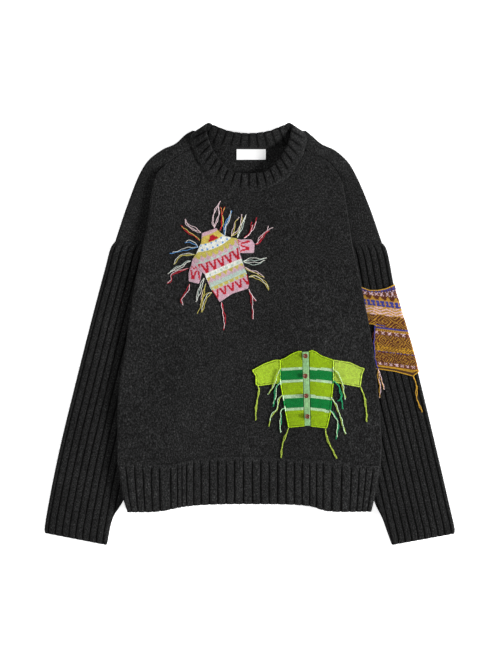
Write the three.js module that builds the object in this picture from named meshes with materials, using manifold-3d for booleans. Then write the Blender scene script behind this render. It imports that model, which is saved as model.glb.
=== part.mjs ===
// Darned wool sweater, laid flat on its back with the sleeves tucked under the body's side edges.
// Millimetres. +X is the wearer's left, +Y points to the collar, +Z is up. The origin is the middle of the underside.
import * as THREE from "three";
import { mergeVertices } from "three/addons/utils/BufferGeometryUtils.js";
import Module from "manifold-3d";

const wasm = await Module();
wasm.setup();

// ---- driving dimensions ----
const plainWall = 3; // body and shoulders, plain knit
const ribWall = 4; // sleeves and hem band, wide rib
const seamGap = 0.3; // between sewn pieces
const foldGap = 0.5; // between the two layers of a flattened tube
const sleeveHeight = 2 * ribWall + foldGap;
const shoulderHeight = 2 * plainWall + foldGap;
const edgeRound = 3; // rounding of the sleeves' folds
const neckLift = 3.3; // beside the collar the back lies on one layer of the shoulder pieces
const rampWidth = 46; // plan width over which the back comes down to the floor
const rampClear = 36; // full lift starts this far inside the sleeve's hidden edge
const collarThick = 5;
const labelSize = [50, 18, 0.8];
const motifThick = 1.5; // thin hand-knit motifs
const yarnHigh = 1.3;
const yarnWide = 2.6;
const buttonRadius = 3.9;
const buttonHigh = 2.1;
const gridStep = 26;
const curveStep = 30; // spacing of the points along soft edges

// ---- finishes ----
const wool = (color) => ({ color, roughness: 0.95, metalness: 0 });
const charcoal = wool(0x2e2e30);
const charcoalRib = wool(0x29292b);
const white = wool(0xf4f4f2);
const pink = wool(0xdba5b4);
const lime = wool(0xa5c81e);
const green = wool(0x0b8a48);
const mint = wool(0xa8d8a0);
const brown = { color: 0x6e2f1e, roughness: 0.4, metalness: 0 };
const mustard = wool(0xb98a2a);
const cream = wool(0xe6dfd0);

// ---- small helpers ----
const sweater = new THREE.Group();
const clamp01 = (t) => Math.min(1, Math.max(0, t));
const ease = (t) => clamp01(t) ** 2 * (3 - 2 * clamp01(t));
const points = (list) => list.map(([x, y]) => new THREE.Vector2(x, y));

// Piecewise linear value at v through [v, value] pairs in rising order.
function along(pairs, v) {
  const last = pairs.length - 1;
  if (v <= pairs[0][0]) return pairs[0][1];
  if (v >= pairs[last][0]) return pairs[last][1];
  const i = pairs.findIndex(([at]) => at > v);
  const [[v0, a], [v1, b]] = [pairs[i - 1], pairs[i]];
  return a + ((b - a) * (v - v0)) / (v1 - v0);
}

// A soft edge: a smooth curve through its knots.
function soft(knots, step = curveStep) {
  const curve = new THREE.CatmullRomCurve3(
    knots.map(([x, y]) => new THREE.Vector3(x, y, 0)),
    false,
    "centripetal",
  );
  const count = Math.max(2, Math.round(curve.getLength() / step));
  return curve.getSpacedPoints(count).map((p) => new THREE.Vector2(p.x, p.y));
}

// One closed outline, counter-clockwise, from stretches laid end to end.
function outline(...stretches) {
  const all = stretches.flat();
  const kept = all.filter((p, i) => p.distanceTo(all[(i + all.length - 1) % all.length]) > 0.05);
  return THREE.ShapeUtils.isClockWise(kept) ? kept.reverse() : kept;
}

// The outline moved outwards by d (inwards when d is negative).
function grown(shape, d) {
  return shape.map((p, i) => {
    const before = shape[(i + shape.length - 1) % shape.length];
    const after = shape[(i + 1) % shape.length];
    const u = p.clone().sub(before).normalize();
    const v = after.clone().sub(p).normalize();
    const miter = new THREE.Vector2(u.y + v.y, -u.x - v.x);
    const scale = Math.min(2, 2 / miter.lengthSq());
    return p.clone().addScaledVector(miter, d * scale);
  });
}

function solidOf(geometry) {
  geometry.deleteAttribute("normal");
  geometry.deleteAttribute("uv");
  const merged = mergeVertices(geometry, 1e-4);
  return new wasm.Manifold(
    new wasm.Mesh({
      numProp: 3,
      vertProperties: new Float32Array(merged.attributes.position.array),
      triVerts: new Uint32Array(merged.index.array),
    }),
  );
}

// A flat-topped solid of the outline from z0 to z1, its edges rounded by `round`.
function prism(shape, z0, z1, round = 0) {
  const geometry = new THREE.ExtrudeGeometry(new THREE.Shape(shape), {
    depth: z1 - z0 - 2 * round,
    bevelEnabled: round > 0,
    bevelThickness: round,
    bevelSize: round,
    bevelOffset: -round,
    bevelSegments: 2,
    curveSegments: 1,
  });
  geometry.translate(0, 0, z0 + round);
  return solidOf(geometry);
}

// Cloth of the outline between two height functions. Every piece takes its heights on the same grid,
// so a piece that lies on another keeps its distance everywhere.
function cloth(shape, low, high) {
  const box = new THREE.Box2().setFromPoints(shape);
  const x0 = Math.floor(box.min.x / gridStep) - 1;
  const y0 = Math.floor(box.min.y / gridStep) - 1;
  const nx = Math.ceil(box.max.x / gridStep) + 1 - x0;
  const ny = Math.ceil(box.max.y / gridStep) + 1 - y0;
  const vertices = [];
  const faces = [];
  for (const height of [low, high]) {
    for (let j = 0; j <= ny; j++) {
      for (let i = 0; i <= nx; i++) {
        const x = (x0 + i) * gridStep;
        const y = (y0 + j) * gridStep;
        vertices.push(x, y, height(x, y));
      }
    }
  }
  const layer = (nx + 1) * (ny + 1);
  const at = (i, j, top) => j * (nx + 1) + i + top * layer;
  const quad = (a, b, c, d) => faces.push(a, b, c, a, c, d);
  for (let j = 0; j < ny; j++) {
    for (let i = 0; i < nx; i++) {
      quad(at(i, j, 1), at(i + 1, j, 1), at(i + 1, j + 1, 1), at(i, j + 1, 1));
      faces.push(at(i, j, 0), at(i + 1, j + 1, 0), at(i + 1, j, 0));
      faces.push(at(i, j, 0), at(i, j + 1, 0), at(i + 1, j + 1, 0));
    }
  }
  for (let i = 0; i < nx; i++) {
    quad(at(i, 0, 0), at(i + 1, 0, 0), at(i + 1, 0, 1), at(i, 0, 1));
    quad(at(i, ny, 1), at(i + 1, ny, 1), at(i + 1, ny, 0), at(i, ny, 0));
  }
  for (let j = 0; j < ny; j++) {
    quad(at(0, j, 1), at(0, j + 1, 1), at(0, j + 1, 0), at(0, j, 0));
    quad(at(nx, j, 0), at(nx, j + 1, 0), at(nx, j + 1, 1), at(nx, j, 1));
  }
  const geometry = new THREE.BufferGeometry();
  geometry.setAttribute("position", new THREE.Float32BufferAttribute(vertices, 3));
  geometry.setIndex(faces);
  return solidOf(geometry).intersect(prism(shape, -20, 60));
}

function add(name, solid, finish) {
  const { vertProperties, triVerts } = solid.getMesh();
  const geometry = new THREE.BufferGeometry();
  geometry.setAttribute("position", new THREE.Float32BufferAttribute(vertProperties, 3));
  geometry.setIndex(Array.from(triVerts));
  geometry.computeVertexNormals();
  const mesh = new THREE.Mesh(geometry, new THREE.MeshStandardMaterial(finish));
  mesh.name = name;
  sweater.add(mesh);
}

// ---- heights of the laid cloth ----
// [Y, plan distance from the middle to the hidden inner edge of sleeve and shoulder].
const hiddenEdge = [[-277, 209], [149, 106], [300, 90]];
// [Y, height of the sleeves and shoulders that the body's sides lie on].
const sideLift = [[100, 11], [178, 9.2], [200, 7.2], [245, 7.2], [285, neckLift]];
// [Y, how far the front hangs down in the middle].
const frontSag = [[-215, 9.5], [-60, 8], [120, 5], [233, 2.5]];

const fullLift = (y) => along(hiddenEdge, y) - rampClear;
const lift = (x, y) => along(sideLift, y) * ease((Math.abs(x) - fullLift(y)) / rampWidth + 1);
const backTop = (x, y) => lift(x, y) + plainWall;

// The front spans between the body's sides in one shallow bowl with a few soft swells.
function bowl(x, y) {
  const across = Math.min(1, Math.abs(x) / fullLift(y));
  const swell = 0.5 * Math.sin(x / 47 + y / 130) + 0.4 * Math.sin(y / 83 - x / 160);
  return along(sideLift, y) + (swell - along(frontSag, y)) * (1 - across ** 2) ** 2;
}
const frontLow = (x, y) => bowl(x, y) + plainWall + seamGap;
const frontTop = (x, y) => frontLow(x, y) + plainWall;
const hemBackTop = (x, y) => lift(x, y) + ribWall;
const hemFrontLow = (x, y) => bowl(x, y) + ribWall + seamGap;
const hemFrontTop = (x, y) => hemFrontLow(x, y) + ribWall;

// A shoulder piece's upper layer meets the front at the seam beside the collar and is lower further down.
const shoulderReach = [[151, 224], [205, 206], [244, 190], [287, 164], [317, 122], [336, 95]];
function shoulderTop(x, y) {
  const inwards = ease((along(shoulderReach, y) - Math.abs(x)) / 30);
  const raised = neckLift + 2 * plainWall + seamGap - shoulderHeight;
  return shoulderHeight + raised * inwards * ease((y - 255) / 30);
}

// ---- edges shared by the pieces, [wearer's right, wearer's left] ----
const sideName = ["right", "left"];
const shoulderFold = [
  [[-95, 336], [-106, 330], [-124, 314], [-144, 305], [-168, 287], [-183, 264], [-206, 205], [-224, 151]],
  [[92, 336], [104, 326], [118, 314], [141, 303], [163, 283], [178, 257], [199, 207], [219, 149]],
];
const bodySeam = [
  [[-97, 306], [-130, 287], [-152, 268], [-159, 255]],
  [[93, 303], [131, 283], [143, 269], [153, 250]],
];
const bodyFold = [
  [[-159, 255], [-165, 222], [-171, 179], [-191, 80], [-208, -32], [-218, -98], [-220, -160], [-220, -213]],
  [[153, 250], [160, 212], [170, 145], [185, 76], [205, -32], [213, -110], [218, -180], [217, -216]],
];
const hemSide = [
  [[-220, -213], [-216, -244], [-210, -276], [-203, -297]],
  [[217, -216], [214, -235], [208, -266], [201, -296]],
];
const ribLine = [[-220, -213], [-179, -217], [-139, -219], [-86, -209], [-23, -206], [132, -212], [189, -220], [217, -216]];
const hemLine = [[-203, -297], [-153, -296], [-108, -288], [-73, -285], [5, -284], [98, -287], [127, -295], [201, -296]];
const sleeveFold = [
  [[-224, 151], [-230, 144], [-241, 105], [-264, 18], [-289, -81], [-315, -188], [-334, -281], [-341, -325]],
  [[219, 149], [225, 143], [241, 70], [262, -2], [275, -50], [302, -161], [330, -281], [340, -326]],
];
const armSeam = [
  [[-224, 151], [-106, 147]],
  [[219, 149], [106, 147]],
];
const cuff = [
  [[-341, -325], [-339, -331], [-289, -341], [-237, -351]],
  [[340, -326], [339, -331], [287, -342], [235, -351]],
];
const sleeveUnder = [
  [[-237, -351], [-227, -306], [-209, -276], [-110, 100], [-106, 147]],
  [[235, -351], [217, -303], [207, -282], [110, 100], [106, 147]],
];

// ---- collar: a doubled rib band round the neck, lying on the front and standing up behind ----
const collarBase = [
  [0, 233, 10], [38, 241, 11.2], [63, 255, 11.2], [79, 276, 9.8], [89, 294, 9.4], [95, 314, 9.4],
  [95, 327, 9.2], [87, 332, 8.2], [75, 322, 7], [60, 313, 5.8], [42, 309, 4.5], [0, 307, 3.4],
];
const collarTop = [
  [0, 265, 11], [28, 268, 11.5], [46, 284, 14], [59, 302, 17], [65, 315, 19.5], [69, 329, 22],
  [71, 341, 24], [67, 347, 25], [59, 344, 25.5], [49, 340, 25.5], [33, 334, 25], [0, 330, 24.5],
];
const neckMiddle = -2;
const collarSections = 36;

// The full closed curve from the half given from front to back.
function ring(half) {
  const other = half.slice(1, -1).reverse().map(([x, y, z]) => [-x, y, z]);
  const knots = [...half, ...other].map(([x, y, z]) => new THREE.Vector3(x + neckMiddle, y, z));
  return new THREE.CatmullRomCurve3(knots, true, "centripetal");
}
const baseRing = ring(collarBase);
const topRing = ring(collarTop);

// The band between the two rings, thicker and longer at its base by `clear`.
function collarBand(clear) {
  const vertices = [];
  const faces = [];
  const half = collarThick / 2 + clear;
  const profile = [[-clear, -half], [0.6, -half], [1, -half * 0.4], [1, half * 0.4], [0.6, half], [-clear, half]];
  const n = profile.length;
  for (let i = 0; i < collarSections; i++) {
    const t = i / collarSections;
    const base = baseRing.getPoint(t);
    const top = topRing.getPoint(t);
    const up = top.clone().sub(base);
    const tangent = baseRing.getTangent(t).lerp(topRing.getTangent(t), 0.5);
    const out = new THREE.Vector3().crossVectors(tangent, up).normalize();
    for (const [reach, side] of profile) {
      const inRange = Math.max(0, reach);
      const below = Math.min(0, reach);
      const p = base.clone().addScaledVector(up, inRange);
      p.addScaledVector(up.clone().normalize(), below).addScaledVector(out, side);
      vertices.push(p.x, p.y, p.z);
    }
  }
  for (let i = 0; i < collarSections; i++) {
    const next = (i + 1) % collarSections;
    for (let k = 0; k < n; k++) {
      const l = (k + 1) % n;
      faces.push(i * n + k, i * n + l, next * n + l, i * n + k, next * n + l, next * n + k);
    }
  }
  const geometry = new THREE.BufferGeometry();
  geometry.setAttribute("position", new THREE.Float32BufferAttribute(vertices, 3));
  geometry.setIndex(faces);
  return solidOf(geometry);
}
const collarSpace = [0.6, 0.3, 0].map(collarBand).reduce((a, b) => a.add(b)); // left free by its neighbours

// The neck edge of a body panel, taken from the collar's base ring between two shares of its length.
function neckEdge(from, to, count) {
  return Array.from({ length: count + 1 }, (_, i) => {
    const p = baseRing.getPoint((((from + ((to - from) * i) / count) % 1) + 1) % 1);
    return new THREE.Vector2(p.x, p.y);
  });
}

// ---- body ----
const shift = (shape, dy) => shape.map((p) => new THREE.Vector2(p.x, p.y + dy));
const rib = soft(ribLine);
const shoulderPoint = 4.3 / 22; // share of the ring where the front seam meets the collar

function makeFront() {
  const edge = outline(
    soft(bodySeam[0]),
    soft(bodyFold[0]).slice(0, -1),
    shift(rib, seamGap / 2),
    soft(bodyFold[1]).slice(0, -1).reverse(),
    soft(bodySeam[1]).reverse(),
    neckEdge(shoulderPoint, -shoulderPoint, 14),
  );
  add("front", cloth(edge, frontLow, frontTop).subtract(collarSpace), charcoal);
}

function makeBack() {
  const side = (s) =>
    soft([[s * 82 + neckMiddle, 322], [s * 88, 297], [s * 120, 277], [s * 140, 258], [s * 150, 240], [s * 158, 222]]);
  const edge = outline(
    side(-1),
    soft(bodyFold[0].slice(2)).slice(0, -1),
    shift(rib, seamGap / 2),
    soft(bodyFold[1].slice(2)).slice(0, -1).reverse(),
    side(1).reverse(),
    neckEdge(0.375, 0.625, 8),
  );
  add("back", cloth(edge, lift, backTop).subtract(collarSpace), charcoal);
}

function makeHem() {
  const bottom = soft(hemLine);
  const band = (rise) =>
    outline(
      shift(rib, -seamGap / 2),
      soft(hemSide[1]).slice(1, -1),
      shift(bottom, rise).reverse(),
      soft(hemSide[0]).slice(1, -1).reverse(),
    );
  add("hem_front", cloth(band(0), hemFrontLow, hemFrontTop), charcoalRib);
  add("hem_back", cloth(band(2), lift, hemBackTop), charcoalRib);
}

function makeCollar() {
  add("collar", collarBand(0), charcoalRib);
}

function makeLabel() {
  const [width, depth, thick] = labelSize;
  const top = 304;
  const x0 = neckMiddle + 4 - width / 2;
  const shape = outline(points([[x0, top - depth], [x0 + width, top - depth], [x0 + width, top], [x0, top]]));
  const low = (x, y) => backTop(x, y) + seamGap;
  add("label", cloth(shape, low, (x, y) => low(x, y) + thick), white);
}

// ---- shoulders: a saddle from the collar that widens to the upper arm, folded at the outer edge ----
function makeShoulder(i) {
  const s = i ? 1 : -1;
  const fold = soft(shoulderFold[i]).slice(0, -1);
  const inset = (d) => fold.map((p) => new THREE.Vector2(p.x - s * d, p.y - d / 3));
  const [outerFoot, innerFoot] = shift(points(armSeam[i]), seamGap / 2);
  const [footX, footY] = [outerFoot.x, outerFoot.y];
  const [endX, endY] = bodySeam[i][3];
  const under = soft([[innerFoot.x, innerFoot.y], [s * 128, 215], [s * 146, 240], [endX - s * 0.4, endY]]);
  const seam = soft(bodySeam[i]).reverse().map((p) => new THREE.Vector2(p.x + s * 0.25, p.y + seamGap));
  const neckX = s * 86 + neckMiddle;
  const upper = outline(fold, [outerFoot], under, seam, points([[neckX, 312], [neckX, 334]]));
  const inside = outline(
    inset(plainWall * 0.9),
    points([[footX - s * plainWall, 130], [s * 90, 130], [s * 90, 230], [s * 70, 290], [s * 70, 350]]),
  );
  const hollow = cloth(inside, () => plainWall, (x, y) => shoulderTop(x, y) - plainWall);
  const lower = outline(
    inset(plainWall / 2).slice(1),
    points([[footX - s * plainWall / 2, footY]]),
    [innerFoot],
    points([[s * 98, 215], [s * 88, 290], [neckX, 325]]),
  );
  const layers = cloth(upper, () => 0, shoulderTop).subtract(hollow).add(prism(lower, 0, plainWall));
  add(`${sideName[i]}_shoulder`, layers.subtract(collarSpace), charcoal);
}

// ---- sleeves: flattened rib tubes, open at the cuff and at the seam ----
const sleeveLine = sleeveFold.map((knots) => soft(knots, 60));

function makeSleeve(i) {
  const s = i ? 1 : -1;
  const fold = sleeveLine[i];
  const under = soft(sleeveUnder[i], 80);
  const shape = outline(fold, points(cuff[i]), under);
  const tube = prism(shift(shape, -seamGap / 2), 0, sleeveHeight, edgeRound);
  const move = (list, d) => list.map((p) => new THREE.Vector2(p.x + s * d, p.y));
  const inside = outline(
    points([[s * 214, 170]]),
    move(fold, -ribWall - 0.5),
    points([[s * 332, -380], [s * 244, -380]]),
    move(under, ribWall + 0.5),
    points([[s * 112, 170]]),
  );
  add(`${sideName[i]}_sleeve`, tube.subtract(prism(inside, ribWall, ribWall + foldGap)), charcoalRib);
}

// ---- darned-on motifs ----
const onFront = (x, y) => frontTop(x, y) + seamGap;
const motifTop = (x, y) => onFront(x, y) + motifThick;
const motif = (name, shape, finish) => add(name, cloth(shape, onFront, motifTop), finish);

// A miniature pullover, tilted.
const pulloverBody = outline(
  points([[-79, 165], [-56, 173], [-50, 166], [-40, 159.5], [-22, 156]]),
  points([[-17.8, 131.6], [-14, 122], [-5, 95], [-2, 80], [-4, 74]]),
  points([[-29, 66], [-50, 52]]),
  points([[-57, 63], [-65, 74], [-75, 98], [-78.7, 101.3], [-94.7, 121.7], [-89, 130], [-80, 150]]),
);
const pulloverSleeves = [
  outline(points([[-79.2, 100.8], [-82, 90], [-85, 82], [-101, 86], [-101, 99], [-98, 110], [-95.2, 121.2]])),
  outline(points([[-21.5, 156], [-13, 154.5], [2, 154.5], [7, 148], [6, 133], [-14, 133], [-17.4, 131.6]])),
];

// A miniature cardigan with a button band.
const placketTop = [86, 97];
const placketFoot = [90.5, 100];
const cardiganFronts = [
  outline(
    points([[50, -45], [58, -42], [69, -35], [80, -30.5], [placketTop[0] - seamGap, -31]]),
    points([[placketFoot[0] - seamGap, -153.5], [64, -156], [59, -130], [50.3, -80]]),
  ),
  outline(
    points([[placketTop[1] + seamGap, -30.5], [103, -29], [108, -31], [118, -38], [137.7, -45]]),
    points([[137.7, -80], [135, -107], [133, -130], [127, -157], [placketFoot[1] + seamGap, -153.8]]),
  ),
];
const cardiganPlacket = outline(
  points([[placketTop[0], -31], [placketTop[1], -30.7], [placketFoot[1], -153.8], [placketFoot[0], -153.5]]),
);
const cardiganSleeves = [
  outline(points([[49.7, -45], [41, -45], [24, -51], [4, -62], [10, -71], [10, -85], [14, -87], [49.9, -82]])),
  outline(points([[138, -45], [165, -49], [182, -57], [189, -59], [185, -68], [182, -89], [166, -86], [138, -80.5]])),
];
const buttonPlaces = [[91.8, -38], [91.5, -71], [93, -104], [95, -138]];

function makeButtons() {
  const profile = [
    [0, 0], [buttonRadius - 0.7, 0], [buttonRadius, 0.7], [buttonRadius, buttonHigh - 0.5],
    [buttonRadius - 0.5, buttonHigh], [buttonRadius - 1.2, buttonHigh], [buttonRadius - 1.7, buttonHigh - 0.6],
    [0, buttonHigh - 0.6],
  ];
  const geometry = new THREE.LatheGeometry(points(profile), 12);
  geometry.rotateX(Math.PI / 2);
  buttonPlaces.forEach(([x, y], i) => {
    const button = solidOf(geometry.clone()).translate([x, y, gridTop(x, y) + motifThick + 2 * seamGap]);
    add(`button_${i + 1}`, button, brown);
  });
}

// The front's height as its facets have it, with room for their slope under a button.
function gridTop(x, y) {
  const corners = [0, 1].flatMap((i) => [0, 1].map((j) => [i, j]));
  const at = ([i, j]) => frontTop((Math.floor(x / gridStep) + i) * gridStep, (Math.floor(y / gridStep) + j) * gridStep);
  return Math.max(...corners.map(at));
}

// The patterned piece round the left sleeve: it starts under the body's edge and goes over the sleeve's fold.
function makeSleeveMotif() {
  const [headY, footY] = [79, -63];
  const line = sleeveLine[1].map((p) => [p.y, p.x]).reverse();
  const heights = [headY, ...line.map(([y]) => y).filter((y) => y < headY && y > footY).reverse(), footY];
  const beside = (d) => heights.map((y) => new THREE.Vector2(along(line, y) + d, y));
  const foot = points([[270, -70], [241, -64], [210, -59], [206, -35], [205, -12], [211, 11], [209, 14], [186, 16]]);
  const head = points([[174, 74], [184, 76], [198, 71], [212, 71], [226, 74]]);
  const outside = beside(2 * seamGap + motifThick);
  const top = prism(outline(outside, foot, head), sleeveHeight + seamGap, sleeveHeight + seamGap + motifThick);
  const edge = outline(outside, beside(2 * seamGap).reverse());
  add("sleeve_motif", top.add(prism(edge, 1.2, sleeveHeight + seamGap + motifThick / 2)), mustard);
}

// ---- loose yarn ends: each a thin strip along its own route, on the cloth it lies on ----
// The route's points are chosen by hand; a second route from the same root is joined to the first.
const pulloverYarns = [
  [cream, [[-81, 166], [-92, 172], [-104, 180], [-107, 189]]],
  [pink, [[-83, 153], [-92, 161], [-102, 167], [-115, 178]]],
  [cream, [[-86, 142.5], [-93, 149], [-101, 152], [-108, 149]], [[-86, 142], [-101, 140], [-116, 136], [-133, 132]]],
  [cream, [[-91.5, 130], [-104, 130], [-117, 127], [-126, 113]]],
  [cream, [[-98, 119], [-104, 118], [-111, 112], [-126, 105], [-136, 98]]],
  [pink, [[-102, 107], [-125, 99], [-131, 94], [-130, 88], [-137, 82]]],
  [pink, [[-100, 81], [-104, 69], [-114, 55], [-111, 46]]],
  [cream, [[-76, 91], [-81, 80], [-86, 65], [-89, 51]]],
  [pink, [[-73, 82], [-77, 68], [-81, 51], [-87, 32]]],
  [cream, [[-63, 67], [-71, 62], [-76, 50], [-80, 34]]],
  [pink, [[-47, 51], [-45, 35], [-42, 20], [-44, 5]]],
  [pink, [[-2, 73], [2, 63], [4, 42], [5, 23]]],
  [cream, [[-2, 93], [7, 94], [19, 88], [28, 79], [31, 71]]],
  [pink, [[-8, 109], [-2, 104], [10, 100], [24, 92]]],
  [cream, [[-11, 119], [1, 122], [16, 122], [28, 124]]],
  [pink, [[9, 147], [13, 148], [17, 159], [29, 169], [31, 177]]],
  [pink, [[-10, 157], [-2, 164], [2, 170], [3, 184]]],
  [cream, [[-21, 158], [-17, 169], [-11, 184], [-6, 196]]],
  [cream, [[-31, 160], [-27, 172], [-24, 184], [-17, 191]]],
  [cream, [[-41.5, 162], [-41, 175], [-35, 189], [-31, 203]]],
  [pink, [[-50, 169], [-46, 180], [-47, 199], [-48, 209]]],
  [pink, [[-59, 174], [-62, 186], [-58, 202], [-49, 219]]],
];
const cardiganYarns = [
  [lime, [[13, -88.5], [15, -96], [11, -116], [9, -145]]],
  [mint, [[38, -86], [36, -93], [29, -102]]],
  [green, [[47.5, -85], [43, -92], [41, -107], [38, -122]]],
  [mint, [[52, -103], [48, -109], [45, -125], [36, -136], [31, -155]]],
  [green, [[57, -124], [52, -128], [51, -141], [50, -165]]],
  [lime, [[64, -158], [57, -175], [52, -194], [52, -204]]],
  [mint, [[153, -86], [154, -95], [156, -106]]],
  [green, [[144, -84], [148, -97], [151, -108], [152, -125]]],
  [mint, [[137, -106], [141, -117], [148, -134], [158, -167]]],
  [green, [[135, -128], [139, -135], [144, -147], [143, -176]]],
  [lime, [[183.5, -91], [188, -102], [192, -124], [193, -147]]],
  [lime, [[125, -159], [126, -169], [133, -187], [142, -205]]],
];
const sleeveYarns = [
  [brown, [[212, -61], [214, -67], [219, -82], [222, -94]], [[212, -61], [213, -75], [215, -87], [215, -108]]],
  [mustard, [[270, -72], [275, -83], [277, -111], [286, -131]]],
];

// A strip of even width along the route.
function strip(route) {
  const curve = new THREE.CatmullRomCurve3(route.map(([x, y]) => new THREE.Vector3(x, y, 0)), false, "centripetal");
  const count = Math.max(3, Math.round(curve.getLength() / 13));
  const left = [];
  const right = [];
  for (let i = 0; i <= count; i++) {
    const p = curve.getPointAt(i / count);
    const t = curve.getTangentAt(i / count);
    left.push(new THREE.Vector2(p.x - (t.y * yarnWide) / 2, p.y + (t.x * yarnWide) / 2));
    right.push(new THREE.Vector2(p.x + (t.y * yarnWide) / 2, p.y - (t.x * yarnWide) / 2));
  }
  return outline(left, right.reverse());
}

function makeYarns(prefix, yarns, low, motifs) {
  yarns.forEach(([finish, ...routes], i) => {
    const laid = (route) => cloth(strip(route), low, (x, y) => low(x, y) + yarnHigh);
    const whole = routes.map(laid).reduce((a, b) => a.add(b));
    const clear = motifs.reduce((solid, shape) => solid.subtract(prism(grown(shape, seamGap), -5, 40)), whole);
    add(`${prefix}_yarn_${String(i + 1).padStart(2, "0")}`, clear, finish);
  });
}

// ---- the sweater ----
makeBack();
makeFront();
makeHem();
makeCollar();
makeLabel();
for (const i of [0, 1]) {
  makeShoulder(i);
  makeSleeve(i);
}
motif("pullover_body", pulloverBody, pink);
motif("cardigan_placket", cardiganPlacket, mint);
for (const i of [0, 1]) {
  motif(`pullover_sleeve_${sideName[i]}`, pulloverSleeves[i], pink);
  motif(`cardigan_front_${sideName[i]}`, cardiganFronts[i], lime);
  motif(`cardigan_sleeve_${sideName[i]}`, cardiganSleeves[i], lime);
}
makeButtons();
makeSleeveMotif();
makeYarns("pullover", pulloverYarns, onFront, [pulloverBody, ...pulloverSleeves]);
makeYarns("cardigan", cardiganYarns, onFront, [...cardiganFronts, cardiganPlacket, ...cardiganSleeves]);
makeYarns("sleeve", sleeveYarns, () => sleeveHeight + seamGap, []);

const box = new THREE.Box3().setFromObject(sweater);
const middle = box.getCenter(new THREE.Vector3());
sweater.position.set(-middle.x, -middle.y, -box.min.z);

export default sweater;
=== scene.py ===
"""Darned wool sweater, laid flat: cloth, ribs, knitted motifs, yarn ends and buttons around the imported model.

Sizes are in the maker's millimetres, with +X to the wearer's left, +Y to the collar and +Z up.
`metres` puts them in the frame.
"""

import math

import bpy
import numpy as np
from mathutils import Matrix, Vector
from mathutils.geometry import delaunay_2d_cdt


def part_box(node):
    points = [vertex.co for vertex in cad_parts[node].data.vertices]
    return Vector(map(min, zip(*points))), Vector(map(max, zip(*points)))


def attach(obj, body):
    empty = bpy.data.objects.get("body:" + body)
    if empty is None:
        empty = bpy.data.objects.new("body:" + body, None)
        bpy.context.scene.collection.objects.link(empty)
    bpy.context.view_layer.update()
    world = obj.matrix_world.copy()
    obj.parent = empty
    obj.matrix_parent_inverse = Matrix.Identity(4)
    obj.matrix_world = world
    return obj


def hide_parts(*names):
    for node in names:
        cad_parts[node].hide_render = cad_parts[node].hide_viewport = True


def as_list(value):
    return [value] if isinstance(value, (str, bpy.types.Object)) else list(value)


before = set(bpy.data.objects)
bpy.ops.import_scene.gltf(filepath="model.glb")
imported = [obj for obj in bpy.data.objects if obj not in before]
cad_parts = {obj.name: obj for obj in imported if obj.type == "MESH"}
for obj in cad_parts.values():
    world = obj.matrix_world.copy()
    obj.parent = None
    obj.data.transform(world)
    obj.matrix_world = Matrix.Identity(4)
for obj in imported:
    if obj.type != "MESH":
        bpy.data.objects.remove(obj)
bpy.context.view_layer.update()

# ---- driving sizes, in millimetres ----
MM = 0.001
PLAIN_WALL = 3.0  # body and shoulders
RIB_WALL = 4.0  # sleeves and hem band
SEAM_GAP = 0.3
SLEEVE_RADIUS = 4.25  # half the height of a flattened sleeve
SHOULDER_HEIGHT = 6.5
NECK_LIFT = 3.3
RAMP_WIDTH = 46.0
RAMP_CLEAR = 36.0
COLLAR_THICK = 4.4
NECK_MIDDLE = -2.0
LABEL_LOW = (-23.0, 286.0)
LABEL_SIZE = (50.0, 18.0)

SHIFT = np.array([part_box("label")[0].x / MM - LABEL_LOW[0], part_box("label")[0].y / MM - LABEL_LOW[1], 0.0])


def metres(points):
    """Points in the maker's millimetres as metres in the frame."""
    return (np.asarray(points, float) + SHIFT) * MM


# ---- heights of the laid cloth; each table is (places, values) ----
HIDDEN_EDGE = ((-277, 149, 300), (209, 106, 90))
SIDE_LIFT = ((100, 178, 200, 245, 285), (11, 9.2, 7.2, 7.2, NECK_LIFT))
FRONT_SAG = ((-215, -60, 120, 233), (9.5, 8, 5, 2.5))
SHOULDER_REACH = ((151, 205, 244, 287, 317, 336), (224, 206, 190, 164, 122, 95))

# Soft troughs and ridges of the front: two ends, half width, height.
FRONT_CREASES = [
    ((-150, 232), (-98, 168), 13, -0.9),
    ((146, 226), (104, 176), 12, -0.8),
    ((-196, 30), (-128, 62), 17, -0.8),
    ((-205, -60), (-150, -30), 15, 0.6),
    ((190, 20), (140, 52), 16, -0.7),
    ((-118, -208), (-112, -150), 9, -0.8),
    ((-150, -206), (-148, -160), 12, 0.6),
    ((60, -200), (40, -226), 14, -0.5),
    ((-30, 215), (-75, 190), 15, 0.5),
]


def ease(t):
    t = np.clip(t, 0, 1)
    return t * t * (3 - 2 * t)


def creased(lines, x, y):
    """Sum of the soft troughs and ridges at x, y."""
    total = np.zeros(np.broadcast(x, y).shape)
    for (x0, y0), (x1, y1), width, height in lines:
        dx, dy = x1 - x0, y1 - y0
        t = np.clip(((x - x0) * dx + (y - y0) * dy) / (dx * dx + dy * dy), 0, 1)
        away = (x - x0 - t * dx) ** 2 + (y - y0 - t * dy) ** 2
        total = total + height * np.exp(-away / width**2)
    return total


def full_lift(y):
    return np.interp(y, *HIDDEN_EDGE) - RAMP_CLEAR


def lift(x, y):
    """Underside of the back, which lies on the floor in the middle and on the sleeves at its sides."""
    return np.interp(y, *SIDE_LIFT) * ease((np.abs(x) - full_lift(y)) / RAMP_WIDTH + 1)


def back_top(x, y):
    return lift(x, y) + PLAIN_WALL


def bowl(x, y):
    across = np.minimum(1, np.abs(x) / full_lift(y))
    swell = 0.5 * np.sin(x / 47 + y / 130) + 0.4 * np.sin(y / 83 - x / 160)
    hang = swell + creased(FRONT_CREASES, x, y) - np.interp(y, *FRONT_SAG)
    return np.interp(y, *SIDE_LIFT) + hang * (1 - across**2) ** 2


def front_low(x, y):
    return bowl(x, y) + PLAIN_WALL + SEAM_GAP


def front_top(x, y):
    return front_low(x, y) + PLAIN_WALL


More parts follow.
